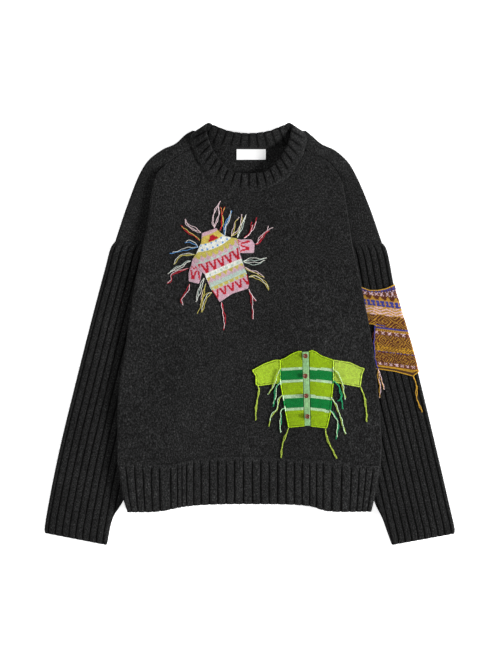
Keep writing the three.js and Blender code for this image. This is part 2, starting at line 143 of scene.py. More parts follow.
def shoulder_top(x, y):
    inwards = ease((np.interp(y, *SHOULDER_REACH) - np.abs(x)) / 30)
    raised = NECK_LIFT + 2 * PLAIN_WALL + SEAM_GAP - SHOULDER_HEIGHT
    return SHOULDER_HEIGHT + raised * inwards * ease((y - 255) / 30)


# ---- edges shared by the pieces, [wearer's right, wearer's left] ----
SIDES = ("right", "left")
SHOULDER_FOLD = [
    [(-95, 336), (-106, 330), (-124, 314), (-144, 305), (-168, 287), (-183, 264), (-206, 205), (-224, 151)],
    [(92, 336), (104, 326), (118, 314), (141, 303), (163, 283), (178, 257), (199, 207), (219, 149)],
]
BODY_SEAM = [
    [(-97, 306), (-130, 287), (-152, 268), (-159, 255)],
    [(93, 303), (131, 283), (143, 269), (153, 250)],
]
BODY_FOLD = [
    [(-159, 255), (-165, 222), (-171, 179), (-191, 80), (-208, -32), (-218, -98), (-220, -160), (-220, -213)],
    [(153, 250), (160, 212), (170, 145), (185, 76), (205, -32), (213, -110), (218, -180), (217, -216)],
]
HEM_SIDE = [
    [(-220, -213), (-216, -244), (-210, -276), (-203, -297)],
    [(217, -216), (214, -235), (208, -266), (201, -296)],
]
RIB_LINE = [
    (-220, -213), (-179, -217), (-139, -219), (-86, -209), (-23, -206), (132, -212), (189, -220), (217, -216),
]
HEM_LINE = [
    (-203, -297), (-153, -296), (-108, -288), (-73, -285), (5, -284), (98, -287), (127, -295), (201, -296),
]
SLEEVE_FOLD = [
    [(-224, 151), (-230, 144), (-241, 105), (-264, 18), (-289, -81), (-315, -188), (-334, -281), (-341, -325)],
    [(219, 149), (225, 143), (241, 70), (262, -2), (275, -50), (302, -161), (330, -281), (340, -326)],
]
SLEEVE_UNDER = [
    [(-106, 147), (-110, 100), (-209, -276), (-227, -306), (-237, -351)],
    [(106, 147), (110, 100), (207, -282), (217, -303), (235, -351)],
]
ARM_SEAM = [[(-224, 151), (-106, 147)], [(219, 149), (106, 147)]]
COLLAR_BASE = [
    (0, 233, 10), (38, 241, 11.2), (63, 255, 11.2), (79, 276, 9.8), (89, 294, 9.4), (95, 314, 9.4),
    (95, 327, 9.2), (87, 332, 8.2), (75, 322, 7), (60, 313, 5.8), (42, 309, 4.5), (0, 307, 3.4),
]
COLLAR_TOP = [
    (0, 265, 11), (28, 268, 11.5), (46, 284, 14), (59, 302, 17), (65, 315, 19.5), (69, 329, 22),
    (71, 341, 24), (67, 347, 25), (59, 344, 25.5), (49, 340, 25.5), (33, 334, 25), (0, 330, 24.5),
]


# ---- curves and outlines ----
def unit(v):
    return v / np.maximum(np.linalg.norm(v, axis=-1, keepdims=True), 1e-9)


def spans(points):
    """Length along a line of points, at each point."""
    steps = np.linalg.norm(np.diff(points, axis=0), axis=1)
    return np.concatenate([[0], np.cumsum(steps)])


def at_lengths(points, lengths):
    """Points of a line at the given lengths along it."""
    along = spans(points)
    return np.stack([np.interp(lengths, along, points[:, k]) for k in range(points.shape[1])], 1)


def smooth_line(knots, closed=False, fine=16):
    """The centripetal curve through the knots, `fine` points to a knot."""
    p = np.asarray(knots, float)
    n = len(p)
    if closed:
        q = np.concatenate([p[-1:], p, p[:2]])
    else:
        q = np.concatenate([2 * p[:1] - p[1:2], p, 2 * p[-1:] - p[-2:-1]])
    parts = []
    t = np.linspace(0, 1, fine, endpoint=False)[:, None]
    for i in range(n if closed else n - 1):
        p0, p1, p2, p3 = q[i : i + 4]
        d0, d1, d2 = (max(np.linalg.norm(b - a) ** 0.5, 1e-4) for a, b in ((p0, p1), (p1, p2), (p2, p3)))
        m1 = ((p1 - p0) / d0 - (p2 - p0) / (d0 + d1) + (p2 - p1) / d1) * d1
        m2 = ((p2 - p1) / d1 - (p3 - p1) / (d1 + d2) + (p3 - p2) / d2) * d1
        parts.append(p1 + t * m1 + t**2 * (3 * (p2 - p1) - 2 * m1 - m2) + t**3 * (2 * (p1 - p2) + m1 + m2))
    if not closed:
        parts.append(p[-1:])
    return np.concatenate(parts)


def soft(knots, step=4.0):
    """A smooth edge through its knots, in even steps."""
    line = smooth_line(knots)
    length = spans(line)[-1]
    return at_lengths(line, np.linspace(0, length, max(2, round(length / step)) + 1))


def straight(*corners, step=3.0):
    """An edge through its corners, in steps of about `step`."""
    corners = np.asarray(corners, float)
    parts = [corners[:1]]
    for a, b in zip(corners[:-1], corners[1:]):
        count = max(1, round(np.linalg.norm(b - a) / step))
        parts.append(a + (b - a) * np.linspace(0, 1, count + 1)[1:, None])
    return np.concatenate(parts)


def outline(*stretches):
    """One closed outline, counter-clockwise, and the rounding of its rim, from (stretch, rounding) pairs."""
    edge = np.concatenate([s for s, _ in stretches])
    rim = np.concatenate([np.full(len(s), float(r)) for s, r in stretches])
    kept = np.linalg.norm(edge - np.roll(edge, 1, 0), axis=1) > 0.4
    edge, rim = edge[kept], rim[kept]
    if signed_area(edge) < 0:
        edge, rim = edge[::-1], rim[::-1]
    rim = (np.roll(rim, 1) + rim + np.roll(rim, -1)) / 3
    return edge, rim


def signed_area(edge):
    x, y = edge[:, 0], edge[:, 1]
    return 0.5 * float(np.sum(x * np.roll(y, -1) - np.roll(x, -1) * y))


def inset(edge, distance):
    """The outline moved inwards by a distance, or by one for each point."""
    u = unit(edge - np.roll(edge, 1, 0))
    v = unit(np.roll(edge, -1, 0) - edge)
    miter = np.stack([-(u[:, 1] + v[:, 1]), u[:, 0] + v[:, 0]], 1)
    scale = np.minimum(2, 2 / np.maximum(np.sum(miter**2, 1), 1e-6))
    return edge + miter * (np.broadcast_to(distance, len(edge)) * scale)[:, None]


def inside(edge, points):
    """Whether each point is inside the outline."""
    x, y = points[:, 0], points[:, 1]
    odd = np.zeros(len(points), bool)
    for (x0, y0), (x1, y1) in zip(edge, np.roll(edge, -1, 0)):
        if y0 == y1:
            continue
        crosses = (y0 > y) != (y1 > y)
        odd ^= crosses & (x < (x1 - x0) * (y - y0) / (y1 - y0) + x0)
    return odd


# ---- meshes ----
def place_object(name, data):
    thing = bpy.data.objects.new(name, data)
    bpy.context.scene.collection.objects.link(thing)
    return thing


def set_dyes(mesh, dyes):
    """Gives each point of a mesh its dye."""
    flat = np.concatenate([np.asarray(dyes, float), np.ones((len(dyes), 1))], 1)
    mesh.attributes.new("dye", "FLOAT_COLOR", "POINT").data.foreach_set("color", flat.ravel())


def set_painted_shade(mesh, depths):
    """Gives each point of a mesh its painted shade: 1 deep between two ribs, 0 on the open face."""
    mesh.attributes.new("groove", "FLOAT", "POINT").data.foreach_set("value", np.ravel(depths).astype(float))


def piece(name, points, faces, material, groove=None, dyes=None, uv=None):
    """A smooth mesh object at the origin, with a painted shade, a dye and a place in the cloth on its points."""
    mesh = bpy.data.meshes.new(name)
    mesh.from_pydata(metres(points).tolist(), [], [tuple(int(i) for i in f) for f in faces])
    if groove is not None:
        set_painted_shade(mesh, groove)
    if dyes is not None:
        set_dyes(mesh, dyes)
    if uv is not None:
        corners = np.empty(len(mesh.loops), dtype=np.int32)
        mesh.loops.foreach_get("vertex_index", corners)
        mesh.uv_layers.new(name="cloth").data.foreach_set("uv", np.asarray(uv, float)[corners].ravel())
    mesh.shade_smooth()
    mesh.materials.append(material)
    return place_object(name, mesh)


def facing_out(points, faces):
    """The faces of a closed mesh, all turned round if they point inwards."""
    volume = 0.0
    for face in faces:
        a = points[face[0]]
        for i in range(1, len(face) - 1):
            volume += float(np.dot(a, np.cross(points[face[i]], points[face[i + 1]])))
    return faces if volume > 0 else [tuple(reversed(f)) for f in faces]


def slab(name, shape, low, high, step, material, under=0.5, colour=None):
    """Cloth of an outline between two height functions, with a rounded rim."""
    edge, rim = shape
    turn = np.linspace(0, math.pi / 2, 5)
    deep = np.maximum(rim, under) + 0.5
    levels = [(inset(edge, deep), low, 0.0)]
    levels += [(inset(edge, under * (1 - math.cos(a))), low, under * (1 - math.sin(a))) for a in turn[::-1]]
    levels += [(inset(edge, rim * (1 - math.cos(a))), high, -rim * (1 - math.sin(a))) for a in turn]
    levels += [(inset(edge, deep), high, 0.0)]
    n = len(edge)
    points = [np.column_stack([p, height(p[:, 0], p[:, 1]) + rise]) for p, height, rise in levels]
    faces = []
    for k in range(len(levels) - 1):
        for i in range(n):
            j = (i + 1) % n
            faces.append((k * n + i, k * n + j, (k + 1) * n + j, (k + 1) * n + i))
    ring = levels[-1][0]
    lo, hi = ring.min(0), ring.max(0)
    gx, gy = np.meshgrid(np.arange(lo[0], hi[0], step), np.arange(lo[1], hi[1], step * 0.9))
    gx = gx + (np.arange(gx.shape[0]) % 2)[:, None] * step / 2
    grid = np.column_stack([gx.ravel(), gy.ravel()])
    grid = grid[inside(inset(edge, deep + step * 0.45), grid) & inside(ring, grid)]
    flat = [Vector(p) for p in np.concatenate([ring, grid])]
    verts, _, triangles, origins, _, _ = delaunay_2d_cdt(flat, [], [list(range(n))], 1, 1e-7)
    top_start = (len(levels) - 1) * n
    base = len(levels) * n
    places = {}
    extra = []
    for i, came in enumerate(origins):
        known = [c for c in came if c < n]
        if known:
            places[i] = (known[0], top_start + known[0])
        else:
            places[i] = (base + 2 * len(extra), base + 2 * len(extra) + 1)
            extra.append(verts[i])
    if extra:
        e = np.array([[v.x, v.y] for v in extra])
        both = np.stack([np.column_stack([e, height(e[:, 0], e[:, 1])]) for height in (low, high)], 1)
        points.append(both.reshape(-1, 3))
    for a, b, c in triangles:
        pa, pb, pc = verts[a], verts[b], verts[c]
        if (pb.x - pa.x) * (pc.y - pa.y) - (pb.y - pa.y) * (pc.x - pa.x) < 0:
            b, c = c, b
        faces.append((places[a][1], places[b][1], places[c][1]))
        faces.append((places[a][0], places[c][0], places[b][0]))
    points = np.concatenate(points)
    return piece(name, points, faces, material, dyes=None if colour is None else colour(points))


def shell(name, outer, inner, material, closed=False, groove=None, uv=None, dyes=None):
    """A closed cloth shell from two grids of points, rows by columns; `closed` joins the last column to the first."""
    rows, columns = outer.shape[:2]
    other = rows * columns
    at = lambda r, c: r * columns + c % columns
    faces = []
    for r in range(rows - 1):
        for c in range(columns if closed else columns - 1):
            quad = (at(r, c), at(r, c + 1), at(r + 1, c + 1), at(r + 1, c))
            faces.append(quad)
            faces.append(tuple(other + i for i in reversed(quad)))
    last = rows - 1
    for c in range(columns if closed else columns - 1):
        a, b = at(0, c), at(0, c + 1)
        faces.append((b, a, other + a, other + b))
        a, b = at(last, c), at(last, c + 1)
        faces.append((a, b, other + b, other + a))
    if not closed:
        for r in range(last):
            a, b = at(r, 0), at(r + 1, 0)
            faces.append((a, b, other + b, other + a))
            a, b = at(r, columns - 1), at(r + 1, columns - 1)
            faces.append((b, a, other + a, other + b))
    points = np.concatenate([outer.reshape(-1, 3), inner.reshape(-1, 3)])
    if groove is not None:
        groove = np.concatenate([np.ravel(groove), np.zeros(other)])
    if dyes is not None:
        dyes = np.concatenate([dyes, dyes])
    if uv is not None:
        flat = np.asarray(uv).reshape(-1, 2)
        uv = np.concatenate([flat, flat])
    return piece(name, points, facing_out(points, faces), material, groove, dyes, uv)


# ---- shader and geometry graphs ----
class Value:
    """A socket of a graph; arithmetic on it adds Math nodes."""

    def __init__(self, graph, socket):
        self.graph = graph
        self.socket = socket

    def __add__(self, other):
        return self.graph.math("ADD", self, other)

    def __sub__(self, other):
        return self.graph.math("SUBTRACT", self, other)

    def __rsub__(self, other):
        return self.graph.math("SUBTRACT", other, self)

    def __mul__(self, other):
        return self.graph.math("MULTIPLY", self, other)

    def __truediv__(self, other):
        return self.graph.math("DIVIDE", self, other)

    def __rtruediv__(self, other):
        return self.graph.math("DIVIDE", other, self)

    def __pow__(self, other):
        return self.graph.math("POWER", self, other)

    def __rpow__(self, other):
        return self.graph.math("POWER", other, self)

    __radd__ = __add__
    __rmul__ = __mul__


class Graph:
    """A node tree written as expressions."""

    def __init__(self, tree):
        self.tree = tree

    def add(self, kind, settings=None, inputs=None, out=0):
        """Adds a node of a kind, sets it up, feeds its inputs by name or number and gives one output."""
        node = self.tree.nodes.new(kind)
        for key, value in (settings or {}).items():
            if key == "stops":
                self.set_stops(node.color_ramp, value)
            else:
                setattr(node, key, value)
        for key, value in (inputs or {}).items():
            if isinstance(value, Value):
                self.tree.links.new(value.socket, node.inputs[key])
            else:
                node.inputs[key].default_value = value
        return Value(self, node.outputs[out])

    @staticmethod
    def set_stops(ramp, stops):
        while len(ramp.elements) < len(stops):
            ramp.elements.new(0.5)
        for element, (place, colour) in zip(ramp.elements, stops):
            element.position = place
            element.color = (*colour, 1)

    def math(self, operation, *values, clamp=False):
        settings = {"operation": operation, "use_clamp": clamp}
        return self.add("ShaderNodeMath", settings, dict(enumerate(values)))

    def tint(self, factor, first, second, blend="MIX"):
        settings = {"data_type": "RGBA", "blend_type": blend}
        return self.add("ShaderNodeMix", settings, {0: factor, 6: first, 7: second}, 2)

    def split(self, place):
        """The x and the y of a place."""
        return [self.add("ShaderNodeSeparateXYZ", None, {0: place}, out) for out in (0, 1)]

    def colour(self, red, green, blue):
        return self.add("ShaderNodeCombineColor", None, {0: red, 1: green, 2: blue})


def rgb(red, green, blue):
    """A screen colour, 0 to 255, as light."""
    parts = [c / 255 for c in (red, green, blue)]
    return tuple(c / 12.92 if c <= 0.04045 else ((c + 0.055) / 1.055) ** 2.4 for c in parts)


def shader(name):
    """An empty material, its graph, and the place on the object."""
    material = bpy.data.materials.new(name)
    material.use_nodes = True
    material.node_tree.nodes.clear()
    graph = Graph(material.node_tree)
    return material, graph, graph.add("ShaderNodeTexCoord", out=3)


def finish_with(graph, inputs):
    """Ends a material's graph in one surface."""
    surface = graph.add("ShaderNodeBsdfPrincipled", None, inputs)
    node = graph.tree.nodes.new("ShaderNodeOutputMaterial")
    graph.tree.links.new(surface.socket, node.inputs["Surface"])


def noise(graph, place, size, detail=2.0, rough=0.5):
    """Noise of a size in millimetres, from about 0 to 1."""
    inputs = {"Vector": place, "Scale": 1 / (size * MM), "Detail": detail, "Roughness": rough}
    return graph.add("ShaderNodeTexNoise", None, inputs)


def stocking_stitch(graph, place, width, height):
    """Height of plain knitting: pairs of slanting leaves in wales across and courses along."""
    x, y = graph.split(place)
    beside = graph.math("ABSOLUTE", graph.math("FRACT", x / (width * MM)) - 0.5)
    across = 1 - graph.math("POWER", graph.math("ABSOLUTE", beside * 4 - 1), 2)
    course = graph.math("FRACT", y / (height * MM) + beside * 1.5)
    along = 1 - graph.math("POWER", graph.math("ABSOLUTE", course * 2 - 1), 2)
    return across * along


def charcoal_wool(name, tone, stitch, from_uv):
    """Carded charcoal wool: pale and dark fibres mixed in the yarn, knitted fine, with painted shade from a per-point
    attribute.
    """
    material, g, place = shader(name)
    cloth = g.add("ShaderNodeUVMap", {"uv_map": "cloth"}) if from_uv else place
    grain = g.add("ShaderNodeMapping", {"vector_type": "POINT"}, {"Vector": place, "Scale": (1, 0.62, 1)})
    tufts = noise(g, grain, 1.65, 2.5, 0.62)
    fibres = noise(g, place, 0.7, 1.0)
    clouds = noise(g, place, 13, 2.0)
    drift = noise(g, place, 95, 1.0)
    groove = g.add("ShaderNodeAttribute", {"attribute_name": "groove"}, None, 2)
    exponent = (tufts - 0.5) * 9.6 + (fibres - 0.5) * 3.4 + (clouds - 0.5) * 0.8 + (drift - 0.5) * 0.9
    # Painted shade: darker where the per-point attribute is set, deep in rib grooves and over the inside of the back;
    # negative values lighten.
    shade = 2 ** (exponent - groove * 2.4)
    pale = g.math("MULTIPLY", noise(g, grain, 1.15, 1.0) - 0.66, 7.0, clamp=True)
    level = shade * tone + pale * 0.045 * (1 - groove)
    warm = noise(g, place, 5.0, 1.0)
    cool_dye = g.colour(level * 0.98, level, level * 1.03)
    warm_dye = g.colour(level * 1.01, level * 1.01, level * 0.99)
    colour = g.tint(warm, cool_dye, warm_dye)
    knit = stocking_stitch(g, cloth, *stitch)
    height = knit * 0.55 + tufts * 0.9 + fibres * 0.35
    bump = g.add("ShaderNodeBump", None, {"Height": height, "Strength": 0.75, "Distance": 0.0007})
    inputs = {
        "Base Color": colour, "Roughness": 0.92, "Specular IOR Level": 0.05, "Sheen Weight": 0.03,
        "Sheen Roughness": 0.5, "Normal": bump,
    }
    finish_with(g, inputs)
    return material


def dyed_yarn(name, ply, bump_depth, sheen=0.12):
    """Dyed wool that takes its colour from the dye on each point, with uneven fibres."""
    material, g, place = shader(name)
    dye = g.add("ShaderNodeAttribute", {"attribute_name": "dye"}, None, 0)
    fibres = noise(g, place, ply * 0.45, 2.0)
    patches = noise(g, place, 7, 2.0)
    shade = 2 ** ((fibres - 0.5) * 1.3 + (patches - 0.5) * 0.45)
    level = g.colour(shade, shade, shade)
    colour = g.tint(1.0, dye, level, "MULTIPLY")
    bump = g.add("ShaderNodeBump", None, {"Height": fibres, "Strength": 0.6, "Distance": bump_depth})
    inputs = {
        "Base Color": colour, "Roughness": 0.85, "Specular IOR Level": 0.25, "Sheen Weight": sheen,
        "Sheen Roughness": 0.45, "Normal": bump,
    }
    finish_with(g, inputs)
    return material


WARP_PITCH, WEFT_PITCH = 0.45, 0.6  # of the label's tape


def label_weave(name):
    """White woven tape: fine crossing threads."""
    material, g, place = shader(name)
    x, y = g.split(place)
    warp = g.math("SINE", x * (2 * math.pi / (WARP_PITCH * MM)))
    weft = g.math("SINE", y * (2 * math.pi / (WEFT_PITCH * MM)))
    weave = warp * weft * 0.5 + 0.5
    soil = noise(g, place, 6, 2.0)
    dye = g.tint(weave * 0.15 + soil * 0.15, (1, 1, 1, 1), (0.94, 0.94, 0.94, 1))
    bump = g.add("ShaderNodeBump", None, {"Height": weave, "Strength": 0.15, "Distance": 0.0001})
    inputs = {
        "Base Color": dye, "Roughness": 0.6, "Specular IOR Level": 0.35, "Sheen Weight": 0.1, "Normal": bump,
    }
    finish_with(g, inputs)
    return material


def button_shell(name):
    """Polished brown corozo: soft streaks under a clear surface."""
    material, g, place = shader(name)
    streaks = g.add("ShaderNodeMapping", {"vector_type": "POINT"}, {"Vector": place, "Scale": (1, 0.25, 1)})
    grain = noise(g, streaks, 0.9, 3.0)
    colour = g.add(
        "ShaderNodeValToRGB",
        {"stops": [(0.3, rgb(84, 32, 20)), (0.55, rgb(126, 52, 34)), (0.75, rgb(150, 74, 50))]},
        {0: grain},
    )
    rough = grain * 0.2 + 0.22
    bump = g.add("ShaderNodeBump", None, {"Height": grain, "Strength": 0.15, "Distance": 0.0001})
    inputs = {"Base Color": colour, "Roughness": rough, "Specular IOR Level": 0.55, "Normal": bump}
    finish_with(g, inputs)
    return material


def studio_floor(name):
    material, g, place = shader(name)
    cloud = noise(g, place, 400, 1.0)
    dye = g.tint(cloud, (0.9, 0.9, 0.9, 1), (0.88, 0.88, 0.885, 1))
    inputs = {
        "Base Color": dye, "Roughness": 0.8, "Specular IOR Level": 0.1, "Emission Color": (1, 1, 1, 1),
        "Emission Strength": 0.8,
    }
    finish_with(g, inputs)
    return material


PLAIN_STITCH = (2.1, 1.6)  # width and height of one stitch of the body
RIB_STITCH = (2.4, 1.9)
plain_wool = charcoal_wool("plain_wool", 0.0146, PLAIN_STITCH, False)
rib_wool = charcoal_wool("rib_wool", 0.0136, RIB_STITCH, True)
motif_wool = dyed_yarn("motif_wool", 1.4, 0.0003)
end_wool = dyed_yarn("end_wool", 0.9, 0.0002, 0.2)
tape = label_weave("tape")
corozo = button_shell("corozo")

DYES = {
    "wool": rgb(44, 44, 45), "white": rgb(240, 240, 232), "cream": rgb(244, 245, 238), "pink": rgb(222, 188, 201),
    "blush": rgb(246, 222, 226), "shell": rgb(238, 208, 214), "red": rgb(204, 16, 48), "rust": rgb(122, 66, 38),
    "brown": rgb(100, 46, 26), "bark": rgb(84, 50, 30), "gold": rgb(206, 158, 54), "old_gold": rgb(212, 164, 44),
    "mustard": rgb(216, 204, 104), "straw": rgb(226, 206, 104), "lime": rgb(170, 206, 16),
    "light_lime": rgb(186, 208, 78), "fresh_lime": rgb(186, 218, 50), "bright_lime": rgb(187, 213, 78),
    "green": rgb(0, 144, 63), "leaf": rgb(30, 160, 104), "sage": rgb(164, 211, 152), "pale": rgb(206, 238, 196),
    "mint": rgb(203, 221, 211), "blue": rgb(96, 168, 236), "royal": rgb(60, 68, 164),
}


def keep(thing, slot, *nodes):
    """Rides on the one body and stands for its nodes; the slot is not used."""
    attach(thing, "root")
    if nodes:
        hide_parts(*nodes)
    return thing


# ---- the floor, the camera and the lights ----
def make_stage():
    half, level = 6.0, -0.0002
    mesh = bpy.data.meshes.new("floor")
    corners = [(-half, -half, level), (half, -half, level), (half, half, level), (-half, half, level)]
    mesh.from_pydata(corners, [], [(0, 1, 2, 3)])
    mesh.materials.append(studio_floor("studio_floor"))
    floor = place_object("floor", mesh)

    camera_height = 6.0
    seen_height = 1.107
    sensor = 36
    camera = place_object("camera", bpy.data.cameras.new("camera"))
    camera.data.sensor_width = sensor
    camera.data.lens = sensor * camera_height / seen_height
    camera.location = (*(metres((0, -0.8, 0))[:2]), camera_height)
    bpy.context.scene.camera = camera

    def lamp(name, place, size, power):
        data = bpy.data.lights.new(name, "AREA")
        data.shape = "DISK"
        data.size = size
        data.energy = power
        light = place_object(name, data)
        light.location = place
        light.rotation_euler = (-Vector(place)).to_track_quat("-Z", "Y").to_euler()

    lamp("key", (7.0, -0.9, 3.0), 2.0, 960)
    lamp("fill", (-2.6, 0.5, 1.7), 1.4, 34)
    world = bpy.data.worlds.new("studio")
    world.use_nodes = True
    world.node_tree.nodes["Background"].inputs[0].default_value = (1, 1, 1, 1)
    world.node_tree.nodes["Background"].inputs[1].default_value = 0.26
    bpy.context.scene.world = world
    bpy.context.scene.view_settings.view_transform = "Standard"


# ---- body panels ----
FOLD_RIM = 2.6
SEAM_RIM = 1.1
RIB_RIM = 0.5


def collar_ring(half):
    """The whole ring from the half given from front to back."""
    other = [(-x, y, z) for x, y, z in half[-2:0:-1]]
    return smooth_line([(x + NECK_MIDDLE, y, z) for x, y, z in [*half, *other]], closed=True)


BASE_RING = collar_ring(COLLAR_BASE)
TOP_RING = collar_ring(COLLAR_TOP)
SHOULDER_POINT = 4.3 / 22  # share of the ring where the front seam meets the collar


def neck_edge(start, end, count=40):
    """The neck edge of a panel between two shares of the collar's base ring."""
    shares = np.linspace(start, end, count) * len(BASE_RING)
    return np.array([BASE_RING[int(round(s)) % len(BASE_RING), :2] for s in shares])


rib_edge = soft(RIB_LINE)


def make_front():
    shape = outline(
        (soft(BODY_SEAM[0]), SEAM_RIM),
        (soft(BODY_FOLD[0])[1:-1], FOLD_RIM),
        (rib_edge + (0, SEAM_GAP / 2), RIB_RIM),
        (soft(BODY_FOLD[1])[1:-1][::-1], FOLD_RIM),
        (soft(BODY_SEAM[1])[::-1], SEAM_RIM),
        (neck_edge(SHOULDER_POINT, -SHOULDER_POINT), RIB_RIM),
    )
    return slab("front_knit", shape, front_low, front_top, 6.0, plain_wool), shape


def make_back():
    def side(s):
        knots = [(82, 322), (88, 297), (120, 277), (140, 258), (150, 240), (158, 222)]
        return soft([(s * x + (NECK_MIDDLE if x == 82 else 0), y) for x, y in knots])

    shape = outline(
        (side(-1), SEAM_RIM),
        (soft(BODY_FOLD[0][2:])[1:-1], SEAM_RIM),
        (rib_edge + (0, SEAM_GAP / 2), RIB_RIM),
        (soft(BODY_FOLD[1][2:])[1:-1][::-1], SEAM_RIM),
        (side(1)[::-1], SEAM_RIM),
        (neck_edge(0.375, 0.625), RIB_RIM),
    )
    return slab("back_knit", shape, lift, back_top, 7.0, plain_wool, under=2.4), shape


# ---- ribs ----
RIB_STEPS = (0, 0.05, 0.12, 0.22, 0.36, 0.5, 0.64, 0.78, 0.88, 0.95)  # columns across one rib


def rib_valley(phase):
    """1 deep between two ribs and 0 on the back of a rib."""
    near = np.abs(2 * (phase % 1) - 1)
    return 0.82 * near**7 + 0.18 * near**2


# Painted shade for the rib grooves: 1 in a groove, fading fast towards the rib's back.
def rib_groove_shade(phase):
    return np.abs(2 * (phase % 1) - 1) ** 5


# Widths of the hem's ribs from the wearer's right, as (how many, width): they bunch where the band bends.
HEM_RIBS = [
    (1, 11.7), (4, 13.4), (1, 19), (1, 11.2), (2, 7.4), (2, 12.4), (2, 14.1), (2, 14.1), (2, 15), (5, 14.2),
    (2, 12.9), (2, 11.2), (1, 15.1), (2, 15.8), (1, 12.6), (3, 10.6),
]
HEM_LEAN = 26.0  # the ribs lean with the side edges and stand upright this far in
HEM_DEPTH = 2.3
SCALLOP = 0.9


def hem_columns():
    """Phase of each column of the band, and its place at mid height from 0 to 1."""
    widths = [width for count, width in HEM_RIBS for _ in range(count)]
    edges = np.concatenate([[0], np.cumsum(widths)]) / sum(widths)
    phase = np.concatenate([[i + f for f in RIB_STEPS] for i in range(len(widths))] + [[len(widths)]])
    return phase, np.interp(phase, np.arange(len(edges)), edges)


# How far the band's faces turn in at its edges, by the share of its depth.
HEM_TUCK = ((0, 0.006, 0.02, 0.94, 0.965, 0.985, 0.996, 1), (0.5, 0.12, 0, 0, 0.12, 0.5, 1.1, 1.8))


def make_hem(name, low, high, front):
    phase, place = hem_columns()
    top, bottom = smooth_line(RIB_LINE), smooth_line(HEM_LINE)
    sides = [smooth_line(side) for side in HEM_SIDE]
    down = np.concatenate([HEM_TUCK[0][:3], np.linspace(0.05, 0.94, 15), HEM_TUCK[0][4:]])
    tuck = np.interp(down, *HEM_TUCK)
    outer, inner, dark = [], [], []
    for v, rim in zip(down, tuck):
        left = at_lengths(sides[0], [v * spans(sides[0])[-1]])[0]
        right = at_lengths(sides[1], [v * spans(sides[1])[-1]])[0]
        middle = [at_lengths(s, [spans(s)[-1] / 2])[0] for s in sides]
        x = middle[0][0] + place * (middle[1][0] - middle[0][0])
        x = x + (left[0] - middle[0][0]) * np.exp(-(x - middle[0][0]) / HEM_LEAN)
        x = x + (right[0] - middle[1][0]) * np.exp(-(middle[1][0] - x) / HEM_LEAN)
        y0 = np.interp(x, top[:, 0], top[:, 1]) + 0.7  # tucked under the body
        y1 = np.interp(x, bottom[:, 0], bottom[:, 1]) + (0 if front else 1.5)
        y1 = y1 - SCALLOP * (1 - rib_valley(phase)) + SCALLOP
        y = y0 + (y1 - y0) * v
        starts = ease((v - 0.01 - 0.035 * (1 + np.sin(np.floor(phase) * 2.4))) / 0.09)
        valley = rib_valley(phase) * starts * (1 - 0.35 * ease((v - 0.9) / 0.1))
        edge = np.minimum(x - left[0], right[0] - x)
        fold = 3.0 * (1 - np.sqrt(1 - (1 - np.clip(edge / 3.4, 0, 1)) ** 2))
        z_high = high(x, y) - HEM_DEPTH * valley - rim
        z_low = low(x, y) + 0.5 * rib_valley(phase + 0.5) + 0.6 * rim
        if front:
            z_high = np.maximum(z_high - fold, z_low + 0.5)
        else:
            z_low = np.minimum(low(x, y) + 0.5 * rib_valley(phase + 0.5) + fold, z_high - 0.5)
        outer.append(np.column_stack([x, y, z_high]))
        inner.append(np.column_stack([x, y, z_low]))
        # Painted shade down the rib grooves; the small negative offset makes the open face a little lighter.
        dark.append(rib_groove_shade(phase) * starts * 0.9 - 0.16)
    outer, inner = np.array(outer), np.array(inner)
    uv = np.stack([outer[..., 0], outer[..., 1]], -1) * MM
    return shell(name, outer, inner, rib_wool, groove=np.array(dark), uv=uv)


def hem_front_low(x, y):
    return bowl(x, y) + RIB_WALL + SEAM_GAP


def hem_front_top(x, y):
    return hem_front_low(x, y) + RIB_WALL


def hem_back_top(x, y):
    return lift(x, y) + RIB_WALL


# ---- sleeves ----
SLEEVE_RIBS = 24
SLEEVE_DEPTH = 2.1
FIRST_GROOVE = (8.9, 9.7)  # from the middle of the outer fold, round the tube
SLEEVE_WALL = 3.5
CUFF_TURN = (0, -5.8)  # the cuff is square to its sleeve at the outer fold
# How far the tube's outer face turns in at its ends, by the share of its length.
SLEEVE_TUCK = (
    (0, 0.0012, 0.004, 0.01, 0.985, 0.992, 0.996, 0.9985, 1), (0.9, 0.45, 0.15, 0, 0, 0.1, 0.45, 0.9, 1.6),
)


def flat_tube(width, radius, girth):
    """Distance from the outer fold, height, and outward direction, at lengths round a flattened tube.

    The lengths run from the middle of the outer fold over the top."""
    quarter = math.pi * radius / 2
    top = width - 2 * radius
    ends = np.cumsum([0, quarter, top, 2 * quarter, top, quarter])
    a, b, c, d = (np.clip(girth, ends[i], ends[i + 1]) - ends[i] for i in (0, 1, 2, 3))
    e = np.clip(girth, ends[4], ends[5]) - ends[4]
    part = np.searchsorted(ends[1:-1], girth, side="right")
    turn = [a / radius, np.full_like(a, math.pi / 2), math.pi / 2 + c / radius]
    turn += [np.full_like(a, 1.5 * math.pi), 1.5 * math.pi + e / radius]
    angle = np.choose(part, turn)
    along = np.choose(part, [0 * a, b, 0 * a + top, top - d, 0 * a])
    out = np.stack([-np.cos(angle), np.sin(angle)], -1)
    spot = np.stack([radius + along, 0 * along + radius], -1) + radius * out
    return spot, out


def sleeve_sections(i):
    """The two ends of each section of a sleeve, from the arm seam to the cuff."""
    share = np.concatenate([SLEEVE_TUCK[0][:4], np.linspace(0.02, 0.985, 66), SLEEVE_TUCK[0][5:]])
    end = np.array(SLEEVE_FOLD[i][-1]) + CUFF_TURN
    fold, under = smooth_line([*SLEEVE_FOLD[i], end]), smooth_line(SLEEVE_UNDER[i])
    outer = at_lengths(fold, share * spans(fold)[-1])
    inner = at_lengths(under, share * spans(under)[-1])
    tucked = 0.8 * (1 - ease(share / 0.01))  # under the shoulder's edge
    outer[:, 1] += tucked
    inner[:, 1] += tucked
    return share, outer, inner


